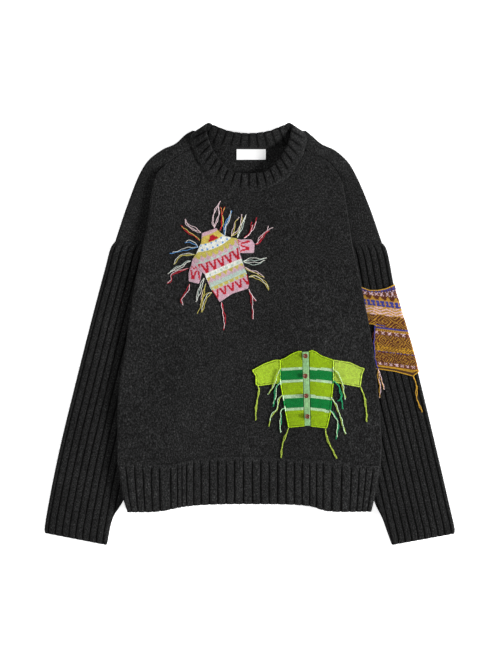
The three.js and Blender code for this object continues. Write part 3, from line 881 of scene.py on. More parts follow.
def make_sleeve(i):
    share, folds, unders = sleeve_sections(i)
    widths = np.linalg.norm(unders - folds, axis=1)
    radius = SLEEVE_RADIUS
    quarter = math.pi * radius / 2
    whole = 2 * (widths.max() - 2 * radius) + 4 * quarter
    pitch = whole / SLEEVE_RIBS
    phase = np.concatenate([[k + f for f in RIB_STEPS] for k in range(SLEEVE_RIBS)])
    girth = ((phase * pitch + FIRST_GROOVE[i]) % whole)
    order = np.argsort(girth)
    girth, phase = girth[order], phase[order]
    outer, inner, dark, uvs = [], [], [], []
    length = spans(folds)[-1]
    for share_here, fold, under, width in zip(share, folds, unders, widths):
        turn = quarter + width - 2 * radius  # from here on the rest of the girth takes up what the width leaves
        total = 2 * (width - 2 * radius) + 4 * quarter
        g = np.where(girth < turn, girth, turn + (girth - turn) * (total - turn) / (whole - turn))
        spot, out = flat_tube(width, radius, np.minimum(g, total - 1e-6))
        ends = np.interp(share_here, *SLEEVE_TUCK)
        gathers = ease((share_here - 0.004) / 0.02) * 0.75 + 0.25
        wander = 0.12 * np.sin(share_here * 21 + np.floor(phase) * 1.7) + 1
        valley = rib_valley(phase) * gathers * wander
        back = spot - out * (SLEEVE_DEPTH * valley + ends)[:, None]
        wall = spot - out * np.minimum(SLEEVE_WALL, radius - 0.5)
        wall = wall + out * min(ends, 1.0) * 0.5
        across = unit(under - fold)
        scallop = (1 - rib_valley(phase)) * 0.9 * (share_here > 0.995)
        for grid, s in ((outer, back), (inner, wall)):
            xy = fold + s[:, :1] * across
            xy[:, 1] -= scallop
            grid.append(np.column_stack([xy, s[:, 1]]))
        # Painted shade down the rib grooves.
        dark.append(rib_groove_shade(phase) * gathers)
        uvs.append(np.column_stack([phase * pitch, np.full(len(phase), share_here * length)]) * MM)
    name = f"{SIDES[i]}_sleeve_knit"
    made = shell(name, np.array(outer), np.array(inner), rib_wool, True, np.array(dark), np.array(uvs))
    return made, whole, length


# ---- shoulders: one strip each, folded at the outer edge ----
def make_shoulder(i):
    s = 1 if i else -1
    wall, radius = PLAIN_WALL, SHOULDER_HEIGHT / 2
    fold = smooth_line(SHOULDER_FOLD[i])
    neck_x = s * 86 + NECK_MIDDLE
    seam = soft(BODY_SEAM[i]) + (s * 0.25, SEAM_GAP)
    foot = np.array(ARM_SEAM[i][1]) + (0, SEAM_GAP / 2)
    end = np.array(BODY_SEAM[i][3]) - (s * 0.4, 0)
    hidden = soft([end, (s * 146, 240), (s * 128, 215), foot])
    inner_line = np.concatenate([[(neck_x, 334), (neck_x, 312)], seam, hidden])
    lower_line = np.array([(neck_x, 325), (s * 88, 290), (s * 98, 215), foot], float)
    rows = np.linspace(0, 1, 72)
    folds = at_lengths(fold, rows * spans(fold)[-1])
    folds[:, 1] += SEAM_GAP / 2 * rows
    tops = at_lengths(inner_line, rows * spans(inner_line)[-1])
    lows = at_lengths(lower_line, rows * spans(lower_line)[-1])
    start = np.array([0, 0.3, 0.8, 1.6])
    drop = np.array([1.1, 0.45, 0.1, 0])
    outer, inner = [], []
    for f, t, l in zip(folds, tops, lows):
        width, low_width = np.linalg.norm(t - f), np.linalg.norm(l - f)
        e, d = unit(t - f), unit(l - f)
        middle = np.linspace(min(2.6, width * 0.3), max(width - radius, width * 0.6), 22)[:-1]
        reach = np.concatenate([start[start < middle[0]], middle])
        reach = np.interp(np.linspace(0, 1, 25), np.linspace(0, 1, len(reach)), reach)
        xy = t + (f - t) * (reach / width)[:, None]
        fall = np.interp(reach, start, drop)
        ridge = 0.7 * np.exp(-(((xy[:, 1] - ARM_SEAM[i][0][1] - 9) / 2.2) ** 2))
        high = shoulder_top(xy[:, 0], xy[:, 1]) - fall + ridge
        angles = np.linspace(math.pi / 2, -math.pi / 2, 11)
        h = float(shoulder_top(*f)) / 2
        bend = f + e * (radius - radius * np.cos(angles))[:, None]
        bend_z = h + h * np.sin(angles)
        under = f + d * np.linspace(radius + 1.5, low_width, 16)[:, None]
        top = np.column_stack([xy, high])
        around = np.column_stack([bend, bend_z])
        below = np.column_stack([under, np.zeros(16)])
        outer.append(np.concatenate([top, around, below]))
        in_top = np.column_stack([xy, shoulder_top(xy[:, 0], xy[:, 1]) - wall])
        small = 0.3
        in_bend = f + e * (radius - small * np.cos(angles))[:, None]
        in_z = h + (h - wall) * np.sin(angles)
        in_low = np.column_stack([under, np.full(16, wall)])
        inner.append(np.concatenate([in_top, np.column_stack([in_bend, in_z]), in_low]))
    return shell(f"{SIDES[i]}_shoulder_knit", np.array(outer), np.array(inner), plain_wool)


# ---- collar ----
COLLAR_RIBS = 32
COLLAR_DEPTH = 2.5


def make_collar():
    middle = (BASE_RING + TOP_RING) / 2
    loop = np.concatenate([middle, middle[:1]])
    along = spans(loop)
    phase = np.concatenate([[k + f for f in RIB_STEPS] for k in range(COLLAR_RIBS)])
    index = np.interp(phase / COLLAR_RIBS * along[-1], along, np.arange(len(loop)))
    pick = lambda ring: np.stack(
        [np.interp(index, np.arange(len(ring) + 1), np.append(ring[:, k], ring[0, k])) for k in range(3)], 1
    )
    base, top = pick(BASE_RING), pick(TOP_RING)
    up = top - base
    tangent = unit(np.roll(top + base, -1, 0) - np.roll(top + base, 1, 0))
    out = unit(np.cross(tangent, up))
    half = COLLAR_THICK / 2
    reach = np.concatenate([[0, 0.03, 0.08], np.linspace(0.16, 0.9, 9)])
    profile = [(r, 1.0) for r in reach]
    profile += [(0.945 + 0.055 * math.cos(a), math.sin(a)) for a in np.linspace(math.pi / 2, -math.pi / 2, 9)[1:-1]]
    profile += [(r, -1.0) for r in reach[::-1]]
    rows, dark = [], []
    for r, side in profile:
        # Outside, the grooves open towards the turned edge; inside, they run the whole way.
        strength = ease((r - 0.02) / 0.6) if side > 0 else ease((r - 0.02) / 0.2) * 0.55
        thick = half * (1 - 0.35 * (1 - ease(r / 0.1)))
        valley = rib_valley(phase) * strength
        height = base + up * r - unit(up) * (valley * 0.7 * ease((r - 0.8) / 0.2))[:, None]
        rows.append(height + out * (side * (thick - COLLAR_DEPTH * 0.62 * valley))[:, None])
        # Painted shade in the rib grooves, darker on the inside; the small negative offset makes the open face a
        # little lighter.
        deep, pale = (1.6, 0.1) if side > 0 else (2.2, 0.02)
        dark.append(np.abs(2 * (phase % 1) - 1) ** 6 * strength * deep - pale)
    grid = np.array(rows)
    n, m = grid.shape[:2]
    faces = []
    for k in range(n):
        for j in range(m):
            a, b = k * m + j, k * m + (j + 1) % m
            c, d = (k + 1) % n * m + (j + 1) % m, (k + 1) % n * m + j
            faces.append((a, b, c, d))
    points = grid.reshape(-1, 3)
    run = spans(np.array([grid[k, 0] for k in range(n)]))
    uv = np.stack(np.broadcast_arrays((phase / COLLAR_RIBS * along[-1])[None], run[:, None]), -1).reshape(-1, 2) * MM
    made = piece("collar_knit", points, facing_out(points, faces), rib_wool, dark, uv=uv)
    return made, along[-1]


# ---- label ----
def make_label():
    (x0, y0), (w, h) = np.add(LABEL_LOW, (0.7, 1.4)), np.subtract(LABEL_SIZE, (1.6, 0.5))
    corners = [(x0, y0), (x0 + w, y0), (x0 + w, y0 + h), (x0, y0 + h), (x0, y0)]
    shape = outline((straight(*corners, step=1.5)[:-1], 0.35))
    low = lambda x, y: back_top(x, y) + SEAM_GAP

    def high(x, y):
        turned = np.minimum(x - x0, x0 + w - x)
        fold = 0.35 * np.exp(-((turned - 2.6) / 0.8) ** 2)
        return low(x, y) + 0.75 - 0.15 * ease((turned - 2.6) / 1.0) + 0.1 * fold

    return slab("label_tape", shape, low, high, 1.6, tape, under=0.2)


# ---- knitted stitches ----
def stitch_tree():
    """Geometry nodes that set one knitted stitch, two leaning leaves, on every point."""
    tree = bpy.data.node_groups.new("knit_stitches", "GeometryNodeTree")
    face = tree.interface
    face.new_socket("Geometry", in_out="INPUT", socket_type="NodeSocketGeometry")
    for name in ("Width", "Height", "Thickness"):
        face.new_socket(name, in_out="INPUT", socket_type="NodeSocketFloat")
    face.new_socket("Material", in_out="INPUT", socket_type="NodeSocketMaterial")
    face.new_socket("Geometry", in_out="OUTPUT", socket_type="NodeSocketGeometry")
    g = Graph(tree)
    given = tree.nodes.new("NodeGroupInput")
    width, height, thick = (Value(g, given.outputs[n]) for n in ("Width", "Height", "Thickness"))
    ball = g.add("GeometryNodeMeshUVSphere", None, {"Segments": 4, "Rings": 3, "Radius": 0.5})
    upright = g.add("GeometryNodeTransform", None, {"Geometry": ball, "Rotation": (math.pi / 2, 0, 0)})
    leaves = []
    for side in (-1, 1):
        size = g.add("ShaderNodeCombineXYZ", None, {0: width * 0.6, 1: height * 1.75, 2: thick})
        spot = g.add("ShaderNodeCombineXYZ", None, {0: width * (0.235 * side), 1: 0.0, 2: 0.0})
        sized = g.add("GeometryNodeTransform", None, {"Geometry": upright, "Scale": size})
        lean = {"Geometry": sized, "Translation": spot, "Rotation": (0, 0, -0.5 * side)}
        leaves.append(g.add("GeometryNodeTransform", None, lean))
    join = tree.nodes.new("GeometryNodeJoinGeometry")
    for leaf in leaves:
        tree.links.new(leaf.socket, join.inputs[0])
    euler = g.add("GeometryNodeInputNamedAttribute", {"data_type": "FLOAT_VECTOR"}, {"Name": "turn"})
    turn = g.add("FunctionNodeEulerToRotation", None, {0: euler})
    scale = g.add("GeometryNodeInputNamedAttribute", {"data_type": "FLOAT_VECTOR"}, {"Name": "size"})
    points = g.add("GeometryNodeMeshToPoints", None, {"Mesh": Value(g, given.outputs["Geometry"])})
    placed = g.add(
        "GeometryNodeInstanceOnPoints",
        None,
        {"Points": points, "Instance": Value(g, join.outputs[0]), "Rotation": turn, "Scale": scale},
    )
    real = g.add("GeometryNodeRealizeInstances", None, {0: placed})
    soft_faces = g.add("GeometryNodeSetShadeSmooth", None, {0: real})
    done = g.add(
        "GeometryNodeSetMaterial", None, {"Geometry": soft_faces, "Material": Value(g, given.outputs["Material"])}
    )
    out = tree.nodes.new("NodeGroupOutput")
    tree.links.new(done.socket, out.inputs[0])
    return tree


STITCHES = stitch_tree()


def knit(name, places, across, normal, dyes, width, height, thick, material, uneven=0.0):
    """Stitches at the places, each turned to its across and outward directions, as one plain mesh."""
    chance = np.random.default_rng(len(places))
    dyes = np.asarray(dyes, float) * (1 + uneven * chance.uniform(-1, 1, (len(places), 1)))
    normal = unit(normal + chance.normal(0, 0.6 * uneven, (len(places), 3)))
    mesh = bpy.data.meshes.new(name)
    mesh.from_pydata(metres(places).tolist(), [], [])
    up = unit(np.cross(normal, across))
    side = unit(np.cross(up, normal))
    turns = []
    for a, b, c in zip(side, up, unit(normal)):
        turns.append(Matrix((a, b, c)).transposed().to_euler())
    mesh.attributes.new("turn", "FLOAT_VECTOR", "POINT").data.foreach_set("vector", np.ravel(turns))
    sizes = 1 + uneven * chance.uniform(-1, 1, (len(places), 3))
    mesh.attributes.new("size", "FLOAT_VECTOR", "POINT").data.foreach_set("vector", np.ravel(sizes))
    set_dyes(mesh, dyes)
    seed = place_object(name + "_points", mesh)
    modifier = seed.modifiers.new("stitches", "NODES")
    modifier.node_group = STITCHES
    values = {"Width": width * MM, "Height": height * MM, "Thickness": thick * MM, "Material": material}
    for socket in STITCHES.interface.items_tree:
        if socket.in_out == "INPUT" and socket.name in values:
            modifier[socket.identifier] = values[socket.name]
    graph = bpy.context.evaluated_depsgraph_get()
    made = bpy.data.meshes.new_from_object(seed.evaluated_get(graph))
    made.name = name
    bpy.data.objects.remove(seed)
    return place_object(name, made)


# ---- charted patterns: u is across from the middle wale, h is up from the foot of a band ----
def plain(u, h, depth):
    return False


def beside(u, pitch, shift=0.0):
    """Distance from the nearest middle of a repeat; the middles are at the shift and every pitch from it."""
    return abs(((u - shift) / pitch + 0.5) % 1 - 0.5) * pitch


def spots(pitch, *lines, half=1.15, shift=0.0):
    def mark(u, h, depth):
        return beside(u, pitch, shift) < half and any(abs(h - line) < half for line in lines)

    return mark


def hanging_teeth(pitch, power=1.0, shift=0.0):
    def mark(u, h, depth):
        return h / depth > 0.04 + (beside(u, pitch, shift) * 2 / pitch) ** power

    return mark


def vees(pitch, stroke=1.4, spread=4.4, shift=0.0):
    def mark(u, h, depth):
        return abs(beside(u, pitch, shift) - 0.5 - spread * h / depth) < stroke

    return mark


def zigzag(pitch, stroke=1.2):
    def mark(u, h, depth):
        swing = beside(u, pitch) * 2 / pitch * (depth - 2 * stroke)
        return abs(h - stroke - swing) < stroke

    return mark


def lozenges(pitch, wide):
    def mark(u, h, depth):
        level = abs(h / depth - 0.5) * 2
        return beside(u, pitch) < wide * (0.35 + 1.6 * level * (1.15 - level)) and level < 0.92

    return mark


def nested(pitch, stripe, slope=0.8, share=0.5):
    """Diamonds one inside another, in stripes of two dyes."""

    def mark(u, h, depth):
        return (beside(u, pitch) * slope + abs(h - depth / 2)) % stripe < stripe * share

    return mark


def waves(pitch, line, rise):
    def mark(u, h, depth):
        return (h + beside(u, pitch) * 2 / pitch * rise) % line < line * 0.46

    return mark


def crosses(pitch, line, high):
    def mark(u, h, depth):
        return abs(beside(u, pitch) - abs(h - line) * 1.1) < 0.95 and abs(h - line) < high

    return mark


def pyramid(u, h, depth):
    return 1.2 < h < 10.6 and abs(u - 0.5) < 9.4 - 0.8 * (h // 2.6 * 2.6)


# Bands from the neck to the hem: depth, ground, pattern, figure.
PULLOVER_BANDS = [
    (6.2, "pink", plain, None), (12.3, "straw", pyramid, "red"),
    (12.7, "cream", spots(9.2, 3.0, 11.1, half=1.4, shift=4.6), "blue"), (2.6, "mustard", plain, None),
    (7.0, "pink", hanging_teeth(10.3, 3.0, -2.1), "mustard"), (5.2, "mint", hanging_teeth(10.3, 2.0, 3.1), "pink"),
    (2.0, "mint", plain, None), (15.0, "pink", vees(13.9, 1.75), "red"),
    (8.2, "cream", spots(9.9, 4.0, half=2.0, shift=4.5), "mint"), (6.8, "pink", hanging_teeth(10.3), "mustard"),
    (4.5, "mint", hanging_teeth(5.15), "pink"), (5.4, "mint", plain, None),
    (5.6, "mustard", spots(9.3, 2.8, half=1.6), "mint"), (0.8, "pink", plain, None),
    (12.6, "pink", vees(13.9, 1.7, shift=0.4), "red"), (12.0, "pink", plain, None),
]
SLEEVE_BANDS = [
    (7.0, "pink", zigzag(5.6), "red"), (1.0, "pink", plain, None), (14.5, "pink", vees(12.0, 1.5, 3.6, 5.8), "red"),
    (30, "pink", plain, None),
]
PATCH_BANDS = [
    (1.6, "gold", plain, None), (3.0, "brown", spots(5.0, 1.4, half=1.6), "royal"),
    (4.8, "rust", crosses(8.6, 2.6, 2.4), "shell"), (7.6, "gold", hanging_teeth(12.0, 1.6), "brown"),
    (10.8, "gold", lozenges(7.2, 3.4), "royal"), (13.2, "gold", waves(24.5, 4.6, 4.2), "shell"),
    (20.5, "gold", nested(34.0, 4.6, 0.8, 0.68), "brown"), (2.6, "royal", plain, None),
    (4.0, "gold", spots(3.2, 2.0, half=0.8), "brown"), (6.5, "rust", crosses(10.6, 3.2, 2.6), "shell"),
    (17.5, "gold", nested(22.0, 4.6, 1.1, 0.64), "brown"), (9.5, "old_gold", nested(5.0, 3.6, 1.2, 0.4), "brown"),
    (2.4, "brown", spots(5.6, 1.2, half=1.5), "royal"), (16.5, "gold", nested(35.0, 4.6, -1.2, 0.72), "brown"),
    (5.2, "rust", crosses(8.6, 2.6, 1.8), "shell"), (3.4, "old_gold", plain, None), (2.2, "bark", plain, None),
    (12.0, "old_gold", plain, None),
]
CARDIGAN_BANDS = [  # by Y at the button band, from the collar down
    (-56.2, "lime"), (-60.3, "pale"), (-76.0, "green"), (-80.2, "pale"), (-101.8, "lime"), (-106.4, "pale"),
    (-122.6, "green"), (-126.9, "pale"), (-200, "lime"),
]


def banded(bands, u, d):
    """Dye of the stitch at u across and d down from the first band's head."""
    for depth, ground, pattern, figure in bands:
        if d < depth:
            return DYES[figure] if pattern(u, depth - d, depth) else DYES[ground]
        d -= depth
    return DYES[bands[-1][1]]


def on_front(x, y):
    return front_top(x, y) + SEAM_GAP


MOTIF_BASE = 0.8
STITCH_RISE = 0.95  # middle of a stitch above the cloth's own surface gap
STITCH_THICK = 1.15
UNEVEN = 0.16  # how much stitches differ in size, dye and tilt
MOTIF_REACH = 100  # further than any motif goes from its chart's start


def motif_outline(edge, step, rim=0):
    return outline((straight(*edge, edge[0], step=step)[:-1], rim))


def motif_base(name, edge, dye):
    """Thin felted ground of a motif, under its stitches; the dye it is given is darkened as painted shadow."""
    high = lambda x, y: on_front(x, y) + MOTIF_BASE
    colour = lambda points: np.array([dye(p) for p in points])
    return slab(name, motif_outline(edge, 2.0, 0.4), on_front, high, 2.2, motif_wool, under=0.25, colour=colour)


def lay_stitches(name, edge, chart, dye, width, height, margin):
    """Stitches over a motif on the front, in the wales and courses that the chart maps to the cloth."""
    inner = inset(motif_outline(edge, 2.0)[0], margin)
    reach = MOTIF_REACH
    charted, spots_xy, across = [], [], []
    for course in range(int(-reach / height), int(2 * reach / height)):
        for wale in range(int(-reach / width), int(reach / width)):
            u, d = (wale + 0.5) * width, course * height
            x, y = chart(u, d)
            x2, y2 = chart(u + 0.5, d)
            charted.append((u, d))
            spots_xy.append((x, y))
            across.append((x2 - x, y2 - y, 0))
    kept = inside(inner, np.array(spots_xy))
    charted, spots_xy, across = (np.array(values)[kept] for values in (charted, spots_xy, across))
    colours = [dye(u, d, x, y) for (u, d), (x, y) in zip(charted, spots_xy)]
    x, y = spots_xy.T
    z = on_front(x, y) + STITCH_RISE
    step = 1.0
    slope_x = (on_front(x + step, y) - on_front(x - step, y)) / (2 * step)
    slope_y = (on_front(x, y + step) - on_front(x, y - step)) / (2 * step)
    normal = unit(np.column_stack([-slope_x, -slope_y, np.ones(len(x))]))
    across[:, 2] = slope_x * across[:, 0] + slope_y * across[:, 1]
    places = np.column_stack([x, y, z])
    return knit(name, places, unit(across), normal, colours, width, height, STITCH_THICK, motif_wool, UNEVEN)


PULLOVER_BODY = [
    (-79, 165), (-56, 173), (-50, 166), (-40, 159.5), (-22, 156), (-17.8, 131.6), (-14, 122), (-5, 95), (-2, 80),
    (-4, 74), (-29, 66), (-50, 52), (-57, 63), (-65, 74), (-75, 98), (-78.7, 101.3), (-94.7, 121.7), (-89, 130),
    (-80, 150),
]
PULLOVER_SLEEVES = [
    [(-79.2, 100.8), (-82, 90), (-85, 82), (-101, 86), (-101, 99), (-98, 110), (-95.2, 121.2)],
    [(-21.5, 156), (-13, 154.5), (2, 154.5), (7, 148), (6, 133), (-14, 133), (-17.4, 131.6)],
]
PLACKET_TOP = (86, 97)
PLACKET_FOOT = (90.5, 100)
CARDIGAN_FRONTS = [
    [(50, -45), (58, -42), (69, -35), (80, -30.5), (85.7, -31), (90.2, -153.5), (64, -156), (59, -130), (50.3, -80)],
    [
        (97.3, -30.5), (103, -29), (108, -31), (118, -38), (137.7, -45), (137.7, -80), (135, -107), (133, -130),
        (127, -157), (100.3, -153.8),
    ],
]
CARDIGAN_PLACKET = [(86, -31), (97, -30.7), (100, -153.8), (90.5, -153.5)]
CARDIGAN_SLEEVES = [
    [(49.7, -45), (41, -45), (24, -51), (4, -62), (10, -71), (10, -85), (14, -87), (49.9, -82)],
    [(138, -45), (165, -49), (182, -57), (189, -59), (185, -68), (182, -89), (166, -86), (138, -80.5)],
]
BUTTON_PLACES = [(91.8, -38), (91.5, -71), (93, -104), (95, -138)]

NECK_POINT = np.array([-67.5, 169.5])
DOWN = np.array([0.3616, -0.9323])  # the pullover's wales, to its hem
ROW = np.array([0.917, 0.399])  # and its courses


def pullover_bow(d):
    """How far the courses bow, for a wale's distance squared."""
    return 0.0079 * np.interp(d, (0, 18, 62), (0.5, 1, 0))


def pullover_frame(u, d):
    return NECK_POINT + ROW * u + DOWN * (d - pullover_bow(d) * u * u)


def pullover_chart(place):
    """The way back from the cloth: across and down at a place."""
    x, y = place[:2] - NECK_POINT
    square = ROW[0] * DOWN[1] - ROW[1] * DOWN[0]
    u = (x * DOWN[1] - y * DOWN[0]) / square
    level = d = (ROW[0] * y - ROW[1] * x) / square
    for _ in range(2):
        d = level + pullover_bow(d) * u * u
    return u, d


def pullover_sleeve_frame(i):
    """Courses go round the sleeve: down from the shoulder to the cuff."""
    top = [np.array([-97.9, 112.0]), np.array([-23.5, 135.2])][i]
    down = [np.array([-0.12, -0.993]), np.array([0.999, -0.045])][i]
    row = [np.array([0.993, -0.12]), np.array([0.045, 0.999])][i]
    return lambda u, d: top + row * u + down * d


# ---- yarn: two plies twisted together along a route ----
PLY_SIDES = 5
PLY_PITCH = 4.2


def side_and_top(line):
    """Directions square to a line at each of its points."""
    tangent = unit(np.gradient(line, axis=0))
    side = unit(np.cross(tangent, (0, 0, 1.0)) + 1e-9)
    return side, np.cross(side, tangent)


def tube(points, radius, sides):
    """Points and faces of a closed round tube along a line."""
    n = len(points)
    side, top = side_and_top(points)
    size = np.full(n, radius) * np.concatenate([[0.35], np.ones(n - 2), [0.35]])
    angle = np.arange(sides) * 2 * math.pi / sides
    ring = side[:, None] * np.cos(angle)[None, :, None] + top[:, None] * np.sin(angle)[None, :, None]
    verts = (points[:, None] + ring * size[:, None, None]).reshape(-1, 3)
    faces = []
    for k in range(n - 1):
        for j in range(sides):
            a, b = k * sides + j, k * sides + (j + 1) % sides
            faces.append((a, b, b + sides, a + sides))
    faces.append(tuple(reversed(range(sides))))
    faces.append(tuple(range((n - 1) * sides, n * sides)))
    return verts, faces


class Skein:
    """Collects yarns and makes one mesh of them."""

    def __init__(self):
        self.points, self.faces, self.dyes, self.count = [], [], [], 0

    def take(self, verts, faces, dye):
        self.points.append(verts)
        self.faces += [tuple(i + self.count for i in f) for f in faces]
        self.dyes.append(np.tile(dye, (len(verts), 1)))
        self.count += len(verts)

    def lay(self, line, dye, radius=0.42, pitch=PLY_PITCH, step=0.8, fray=True):
        """A two-ply yarn along a line of points."""
        length = spans(line)[-1]
        count = max(6, round(length / step))
        s = np.linspace(0, length, count + 1)
        middle = at_lengths(line, s)
        side, top = side_and_top(middle)
        opening = 1 + 1.4 * ease((s - length + 3.5) / 3.5) * fray
        for ply in (0, 1):
            a = s / pitch * 2 * math.pi + ply * math.pi
            away = side * np.cos(a)[:, None] + top * np.sin(a)[:, None] * 0.8
            # Painted light and shade: one ply is a lighter and the other a darker copy of the dye, for the lit crests
            # and dark gaps of the twist.
            shade = np.array(dye) * (1.15, 0.74)[ply]
            self.take(*tube(middle + away * (radius * 0.86 * opening)[:, None], radius, PLY_SIDES), shade)

    def piece(self, name, material):
        return piece(name, np.concatenate(self.points), self.faces, material, dyes=np.concatenate(self.dyes))


def yarn_line(route, bow, reach, surface, clear, seed):
    """A strand's line: along the route, bowed aside, a little wavy, resting on the surface."""
    line = smooth_line(route)
    length = spans(line)[-1] * reach
    s = np.linspace(0, length, max(8, round(length / 1.5)))
    xy = at_lengths(line, s)
    t = s / max(length, 1e-6)
    tangent = unit(np.gradient(xy, axis=0))
    side = np.column_stack([-tangent[:, 1], tangent[:, 0]])
    wave = 0.6 * np.sin(s / 4.3 + seed * 2.1) + 0.4 * np.sin(s / 2.0 + seed * 4.7)
    xy = xy + side * (bow * np.sin(math.pi * np.clip(t, 0, 1) ** 0.85) + wave * ease(t * 6))[:, None]
    z = surface(xy[:, 0], xy[:, 1]) + clear(t, xy, seed)
    return np.column_stack([xy, z])


def on_cloth(motif_edges, root_rise=1.5):
    """Height of a yarn's middle above the cloth: higher over a motif, and where it leaves one."""

    def clear(t, xy, seed):
        over = np.zeros(len(t), bool)
        for edge in motif_edges:
            over |= inside(inset(edge, -0.8), xy)
        rise = np.where(over, 2.2, 0.0)
        kernel = np.ones(5) / 5
        rise = np.convolve(np.pad(rise, 2, mode="edge"), kernel, "valid")
        rise = np.maximum(rise, root_rise * (1 - ease(t * 5)))
        return 0.85 + rise + 0.25 * (1 + np.sin(t * 9 + seed)) * 0.5 + 0.35 * (seed % 3) * 0.5

    return clear


# Each yarn end: its route, then its strands as (dye, bow to the side, share of the route it reaches).
PULLOVER_YARNS = [
    ([[(-81, 166), (-92, 172), (-104, 180), (-107, 189)]],
     [("blush", 1.6, 1), ("blush", -1.8, 0.96), ("blush", 0.2, 0.8)]),
    ([[(-83, 153), (-92, 161), (-102, 167), (-115, 178)]],
     [("red", 0.9, 1), ("mustard", -0.7, 0.94), ("red", -0.1, 0.7)]),
    ([[(-86, 142.5), (-93, 149), (-101, 152), (-108, 149)], [(-86, 142), (-101, 140), (-116, 136), (-133, 132)]],
     [("blue", 1.0, 1), ("white", -1.2, 0.9)]),
    ([[(-91.5, 130), (-104, 130), (-117, 127), (-126, 113)]],
     [("mustard", 1.2, 1), ("white", -0.9, 0.97), ("mustard", 0.2, 0.6)]),
    ([[(-98, 119), (-104, 118), (-111, 112), (-126, 105), (-136, 98)]],
     [("white", 1.5, 1), ("mint", -1.3, 0.93), ("white", 0, 0.85)]),
    ([[(-102, 107), (-125, 99), (-131, 94), (-130, 88), (-137, 82)]],
     [("red", 0.8, 1), ("blush", -1.0, 1), ("red", -0.1, 0.62)]),
    ([[(-100, 81), (-104, 69), (-114, 55), (-111, 46)]],
     [("blush", 0.9, 1), ("red", -0.9, 0.92)]),
    ([[(-76, 91), (-81, 80), (-86, 65), (-89, 51)]],
     [("white", 2.2, 1), ("white", -1.0, 0.94), ("mint", 0.6, 0.86)]),
    ([[(-73, 82), (-77, 68), (-81, 51), (-87, 32)]],
     [("mustard", 0.8, 1), ("blush", -0.8, 0.72), ("mustard", -0.1, 0.6)]),
    ([[(-63, 67), (-71, 62), (-76, 50), (-80, 34)]],
     [("mustard", 1.5, 1), ("mustard", -2.4, 0.97), ("white", -0.6, 0.9)]),
    ([[(-47, 51), (-45, 35), (-42, 20), (-44, 5)]],
     [("red", 1.2, 1), ("blush", -0.6, 0.95), ("red", 0.4, 0.62)]),
    ([[(-2, 73), (2, 63), (4, 42), (5, 23)], [(-2, 73), (1, 64), (10, 53)]],
     [("blush", 0.7, 1), ("red", -0.7, 1)]),
    ([[(-2, 93), (7, 94), (19, 88), (28, 79), (31, 71)]],
     [("mustard", 1.3, 1), ("mustard", -1.5, 0.96), ("white", 0.3, 0.9)]),
    ([[(-8, 109), (-2, 104), (10, 100), (24, 92)]],
     [("blush", 1.2, 1), ("mustard", -0.9, 0.98), ("blush", 0.1, 0.7)]),
    ([[(-11, 119), (1, 122), (16, 122), (28, 124)], [(-11, 118), (2, 115), (16, 116), (25, 121)]],
     [("white", 1.3, 1), ("mint", -1.0, 0.96)]),
    ([[(9, 147), (13, 148), (17, 159), (29, 169), (31, 177)], [(9, 147), (14, 150), (24, 163), (38, 175)]],
     [("blush", 0.9, 1), ("red", -0.9, 0.8)]),
    ([[(-10, 157), (-2, 164), (2, 170), (3, 184)], [(-10, 157), (2, 168), (8, 180), (11, 192)]],
     [("red", 0.7, 1), ("blush", -0.7, 0.85)]),
    ([[(-21, 158), (-17, 169), (-11, 184), (-6, 196)]],
     [("white", 1.4, 1), ("mint", -1.3, 0.86), ("white", 0.2, 0.93)]),
    ([[(-31, 160), (-27, 172), (-24, 184), (-17, 191)], [(-31, 160), (-22, 167), (-14, 184), (-14, 197)]],
     [("blush", 0.8, 1), ("mustard", -0.6, 0.9)]),
    ([[(-41.5, 162), (-41, 175), (-35, 189), (-31, 203)]],
     [("blue", 1.9, 0.82), ("white", -1.0, 0.98), ("white", 0.5, 0.88), ("blue", -0.2, 1)]),
    ([[(-50, 169), (-46, 180), (-47, 199), (-48, 209)], [(-50, 169), (-45, 181), (-46, 197), (-41, 209)]],
     [("red", 0.6, 1), ("mustard", -0.4, 0.97)]),
    ([[(-59, 174), (-62, 186), (-58, 202), (-49, 219)], [(-59, 174), (-55, 186), (-51, 199), (-53, 211)]],
     [("blush", 0.6, 1), ("blush", -0.5, 0.95)]),
]
CARDIGAN_YARNS = [
    ([[(13, -87), (15, -96), (11, -116), (9, -145)]], [("light_lime", 0.5, 1), ("light_lime", -0.6, 0.98)]),
    ([[(49, -60), (43, -76), (36, -93), (29, -102)]], [("pale", 0.5, 1), ("light_lime", -0.5, 0.97)]),
    ([[(50, -81), (43, -90), (41, -107), (38, -122)]],
     [("leaf", 0.6, 1), ("leaf", -0.5, 0.93), ("pale", 1.4, 0.9)]),
    ([[(53, -103), (48, -109), (45, -125), (36, -136), (31, -155)]],
     [("light_lime", 0.7, 1), ("pale", -0.6, 0.84)]),
    ([[(58, -124), (52, -128), (51, -141), (50, -165)]], [("leaf", 0.5, 0.86), ("pale", -0.6, 1)]),
    ([[(64, -157), (57, -175), (52, -194), (52, -207)]], [("light_lime", 0.5, 1), ("light_lime", -0.5, 0.97)]),
    ([[(138, -60), (146, -68), (152, -82), (155, -97), (158, -110)]],
     [("pale", 0.6, 1), ("light_lime", -0.5, 0.95)]),
    ([[(138, -79), (146, -86), (149, -97), (152, -106), (145, -113)], [(150, -104), (152, -114), (153, -126)]],
     [("leaf", 0.8, 1), ("leaf", -0.5, 0.95)]),
    ([[(134, -106), (141, -117), (148, -134), (158, -167)]], [("pale", 0.5, 1), ("light_lime", -0.6, 1)]),
    ([[(132, -127), (139, -135), (145, -147), (143, -176)]], [("leaf", 0.6, 1), ("pale", -0.6, 0.93)]),
    ([[(183, -89), (188, -102), (192, -124), (193, -147)]],
     [("light_lime", 0.5, 1), ("light_lime", -0.5, 0.97)]),
    ([[(125, -158), (126, -169), (133, -187), (144, -208)]],
     [("light_lime", 0.5, 1), ("light_lime", -0.6, 0.98)]),
]
